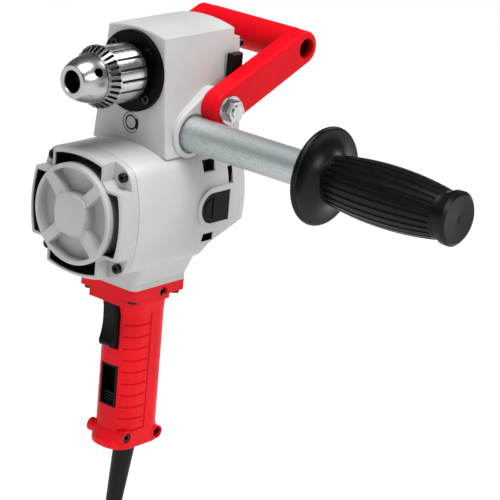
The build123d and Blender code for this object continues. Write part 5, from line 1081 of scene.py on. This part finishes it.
@dataclass
class Studio:
    """Pale floor and backdrop, soft lights and the camera at the photograph's angle."""

    floor_z: float = -0.2055
    floor_half: float = 14.0
    wall_height: float = 1.3
    wall_sides: int = 64
    pale: tuple[Colour, Colour] = ((0.25, 0.25, 0.25), (0.27, 0.27, 0.27))
    pale_scale: float = 2.0
    pale_rough: float = 0.9
    pale_glow: float = 0.8
    white: Colour = (1.0, 1.0, 1.0)
    sky: float = 0.1
    eye: Place = (1.2128, -1.3308, 0.6885)
    right: Place = (0.7495, 0.6567, 0.0839)
    up: Place = (-0.266, 0.1827, 0.9465)
    back: Place = (0.6062, -0.7317, 0.3116)
    focal_pixels: float = 2484.09
    image_pixels: float = 500.0
    sensor: float = 36.0
    view_end: float = 60.0
    aim: Place = (0.05, 0.0, 0.12)
    lamps: tuple[Lamp, ...] = (
        Lamp("overhead", (0.6, -0.65, 3.95), 2.6, 162.0),
        Lamp("right", (2.7, -0.2, 1.5), 1.3, 26.0),
        Lamp("front", (-1.0, -1.6, 2.4), 1.1, 3.0),
        Lamp("rear", (0.45, 2.2, 2.1), 1.3, 24.0),
    )

    def floor(self) -> None:
        """Lay a square floor, with a low round wall in it that keeps level views white."""
        half, z = self.floor_half, self.floor_z
        corners = np.array(((-half, -half, z), (half, -half, z), (half, half, z), (-half, half, z)))
        angle = np.linspace(0.0, FULL_TURN, self.wall_sides, endpoint=False)
        foot = np.stack((half * np.cos(angle), half * np.sin(angle), np.full_like(angle, z)), -1)
        wall = np.concatenate((foot, foot + (0.0, 0.0, self.wall_height)))
        this = np.arange(self.wall_sides)
        following = np.roll(this, -1)
        sides = np.stack((this, following, following + len(foot), this + len(foot)), -1)
        sheet = Sheet("pale_floor")
        pale = sheet.finish(
            Base_Color=sheet.mix(sheet.noise(self.pale_scale), *self.pale),
            Roughness=self.pale_rough,
            Emission_Color=rgba(self.white),
            Emission_Strength=self.pale_glow,
        )
        for name, points, faces in (
            ("studio_floor", corners, np.arange(len(corners))[None]),
            ("studio_backdrop", wall, sides),
        ):
            piece = put_mesh(name, points, faces)
            piece.data.materials.append(pale)

    def lights(self) -> None:
        """Hang the soft lamps, each turned to the tool, and set the surrounding light."""
        for lamp in self.lamps:
            light = bpy.data.lights.new(lamp.name, "AREA")
            light.shape = "DISK"
            light.size = lamp.width
            light.energy = lamp.power
            hung = bpy.data.objects.new(lamp.name, light)
            hung.location = lamp.place
            towards = Vector(self.aim) - Vector(lamp.place)
            hung.rotation_euler = towards.to_track_quat("-Z", "Y").to_euler()
            bpy.context.scene.collection.objects.link(hung)
        world = bpy.data.worlds.new("studio")
        world.use_nodes = True
        ground = world.node_tree.nodes["Background"]
        ground.inputs["Color"].default_value = rgba(self.white)
        ground.inputs["Strength"].default_value = self.sky
        bpy.context.scene.world = world

    def camera(self) -> None:
        """Stand the camera where the photograph was taken."""
        lens = bpy.data.cameras.new("camera")
        lens.sensor_fit = "HORIZONTAL"
        lens.sensor_width = self.sensor
        lens.lens = self.focal_pixels / self.image_pixels * self.sensor
        lens.clip_end = self.view_end
        stand = bpy.data.objects.new("camera", lens)
        turn = Matrix((self.right, self.up, self.back)).transposed()
        stand.matrix_world = Matrix.Translation(self.eye) @ turn.to_4x4()
        bpy.context.scene.collection.objects.link(stand)
        bpy.context.scene.camera = stand

    def build(self) -> None:
        """Set the whole studio."""
        self.camera()
        self.floor()
        self.lights()
        bpy.context.scene.view_settings.view_transform = "Standard"


def main() -> None:
    """Dress the tool, piece by piece."""
    logging.basicConfig(level=logging.INFO, format="%(name)s %(message)s")
    paint = Paintbox()
    Studio().build()
    Cord(paint).dress()
    Body(paint).dress()
    Chuck(paint).dress()
    Handles(paint).dress()


if __name__ == "__main__":
    main()
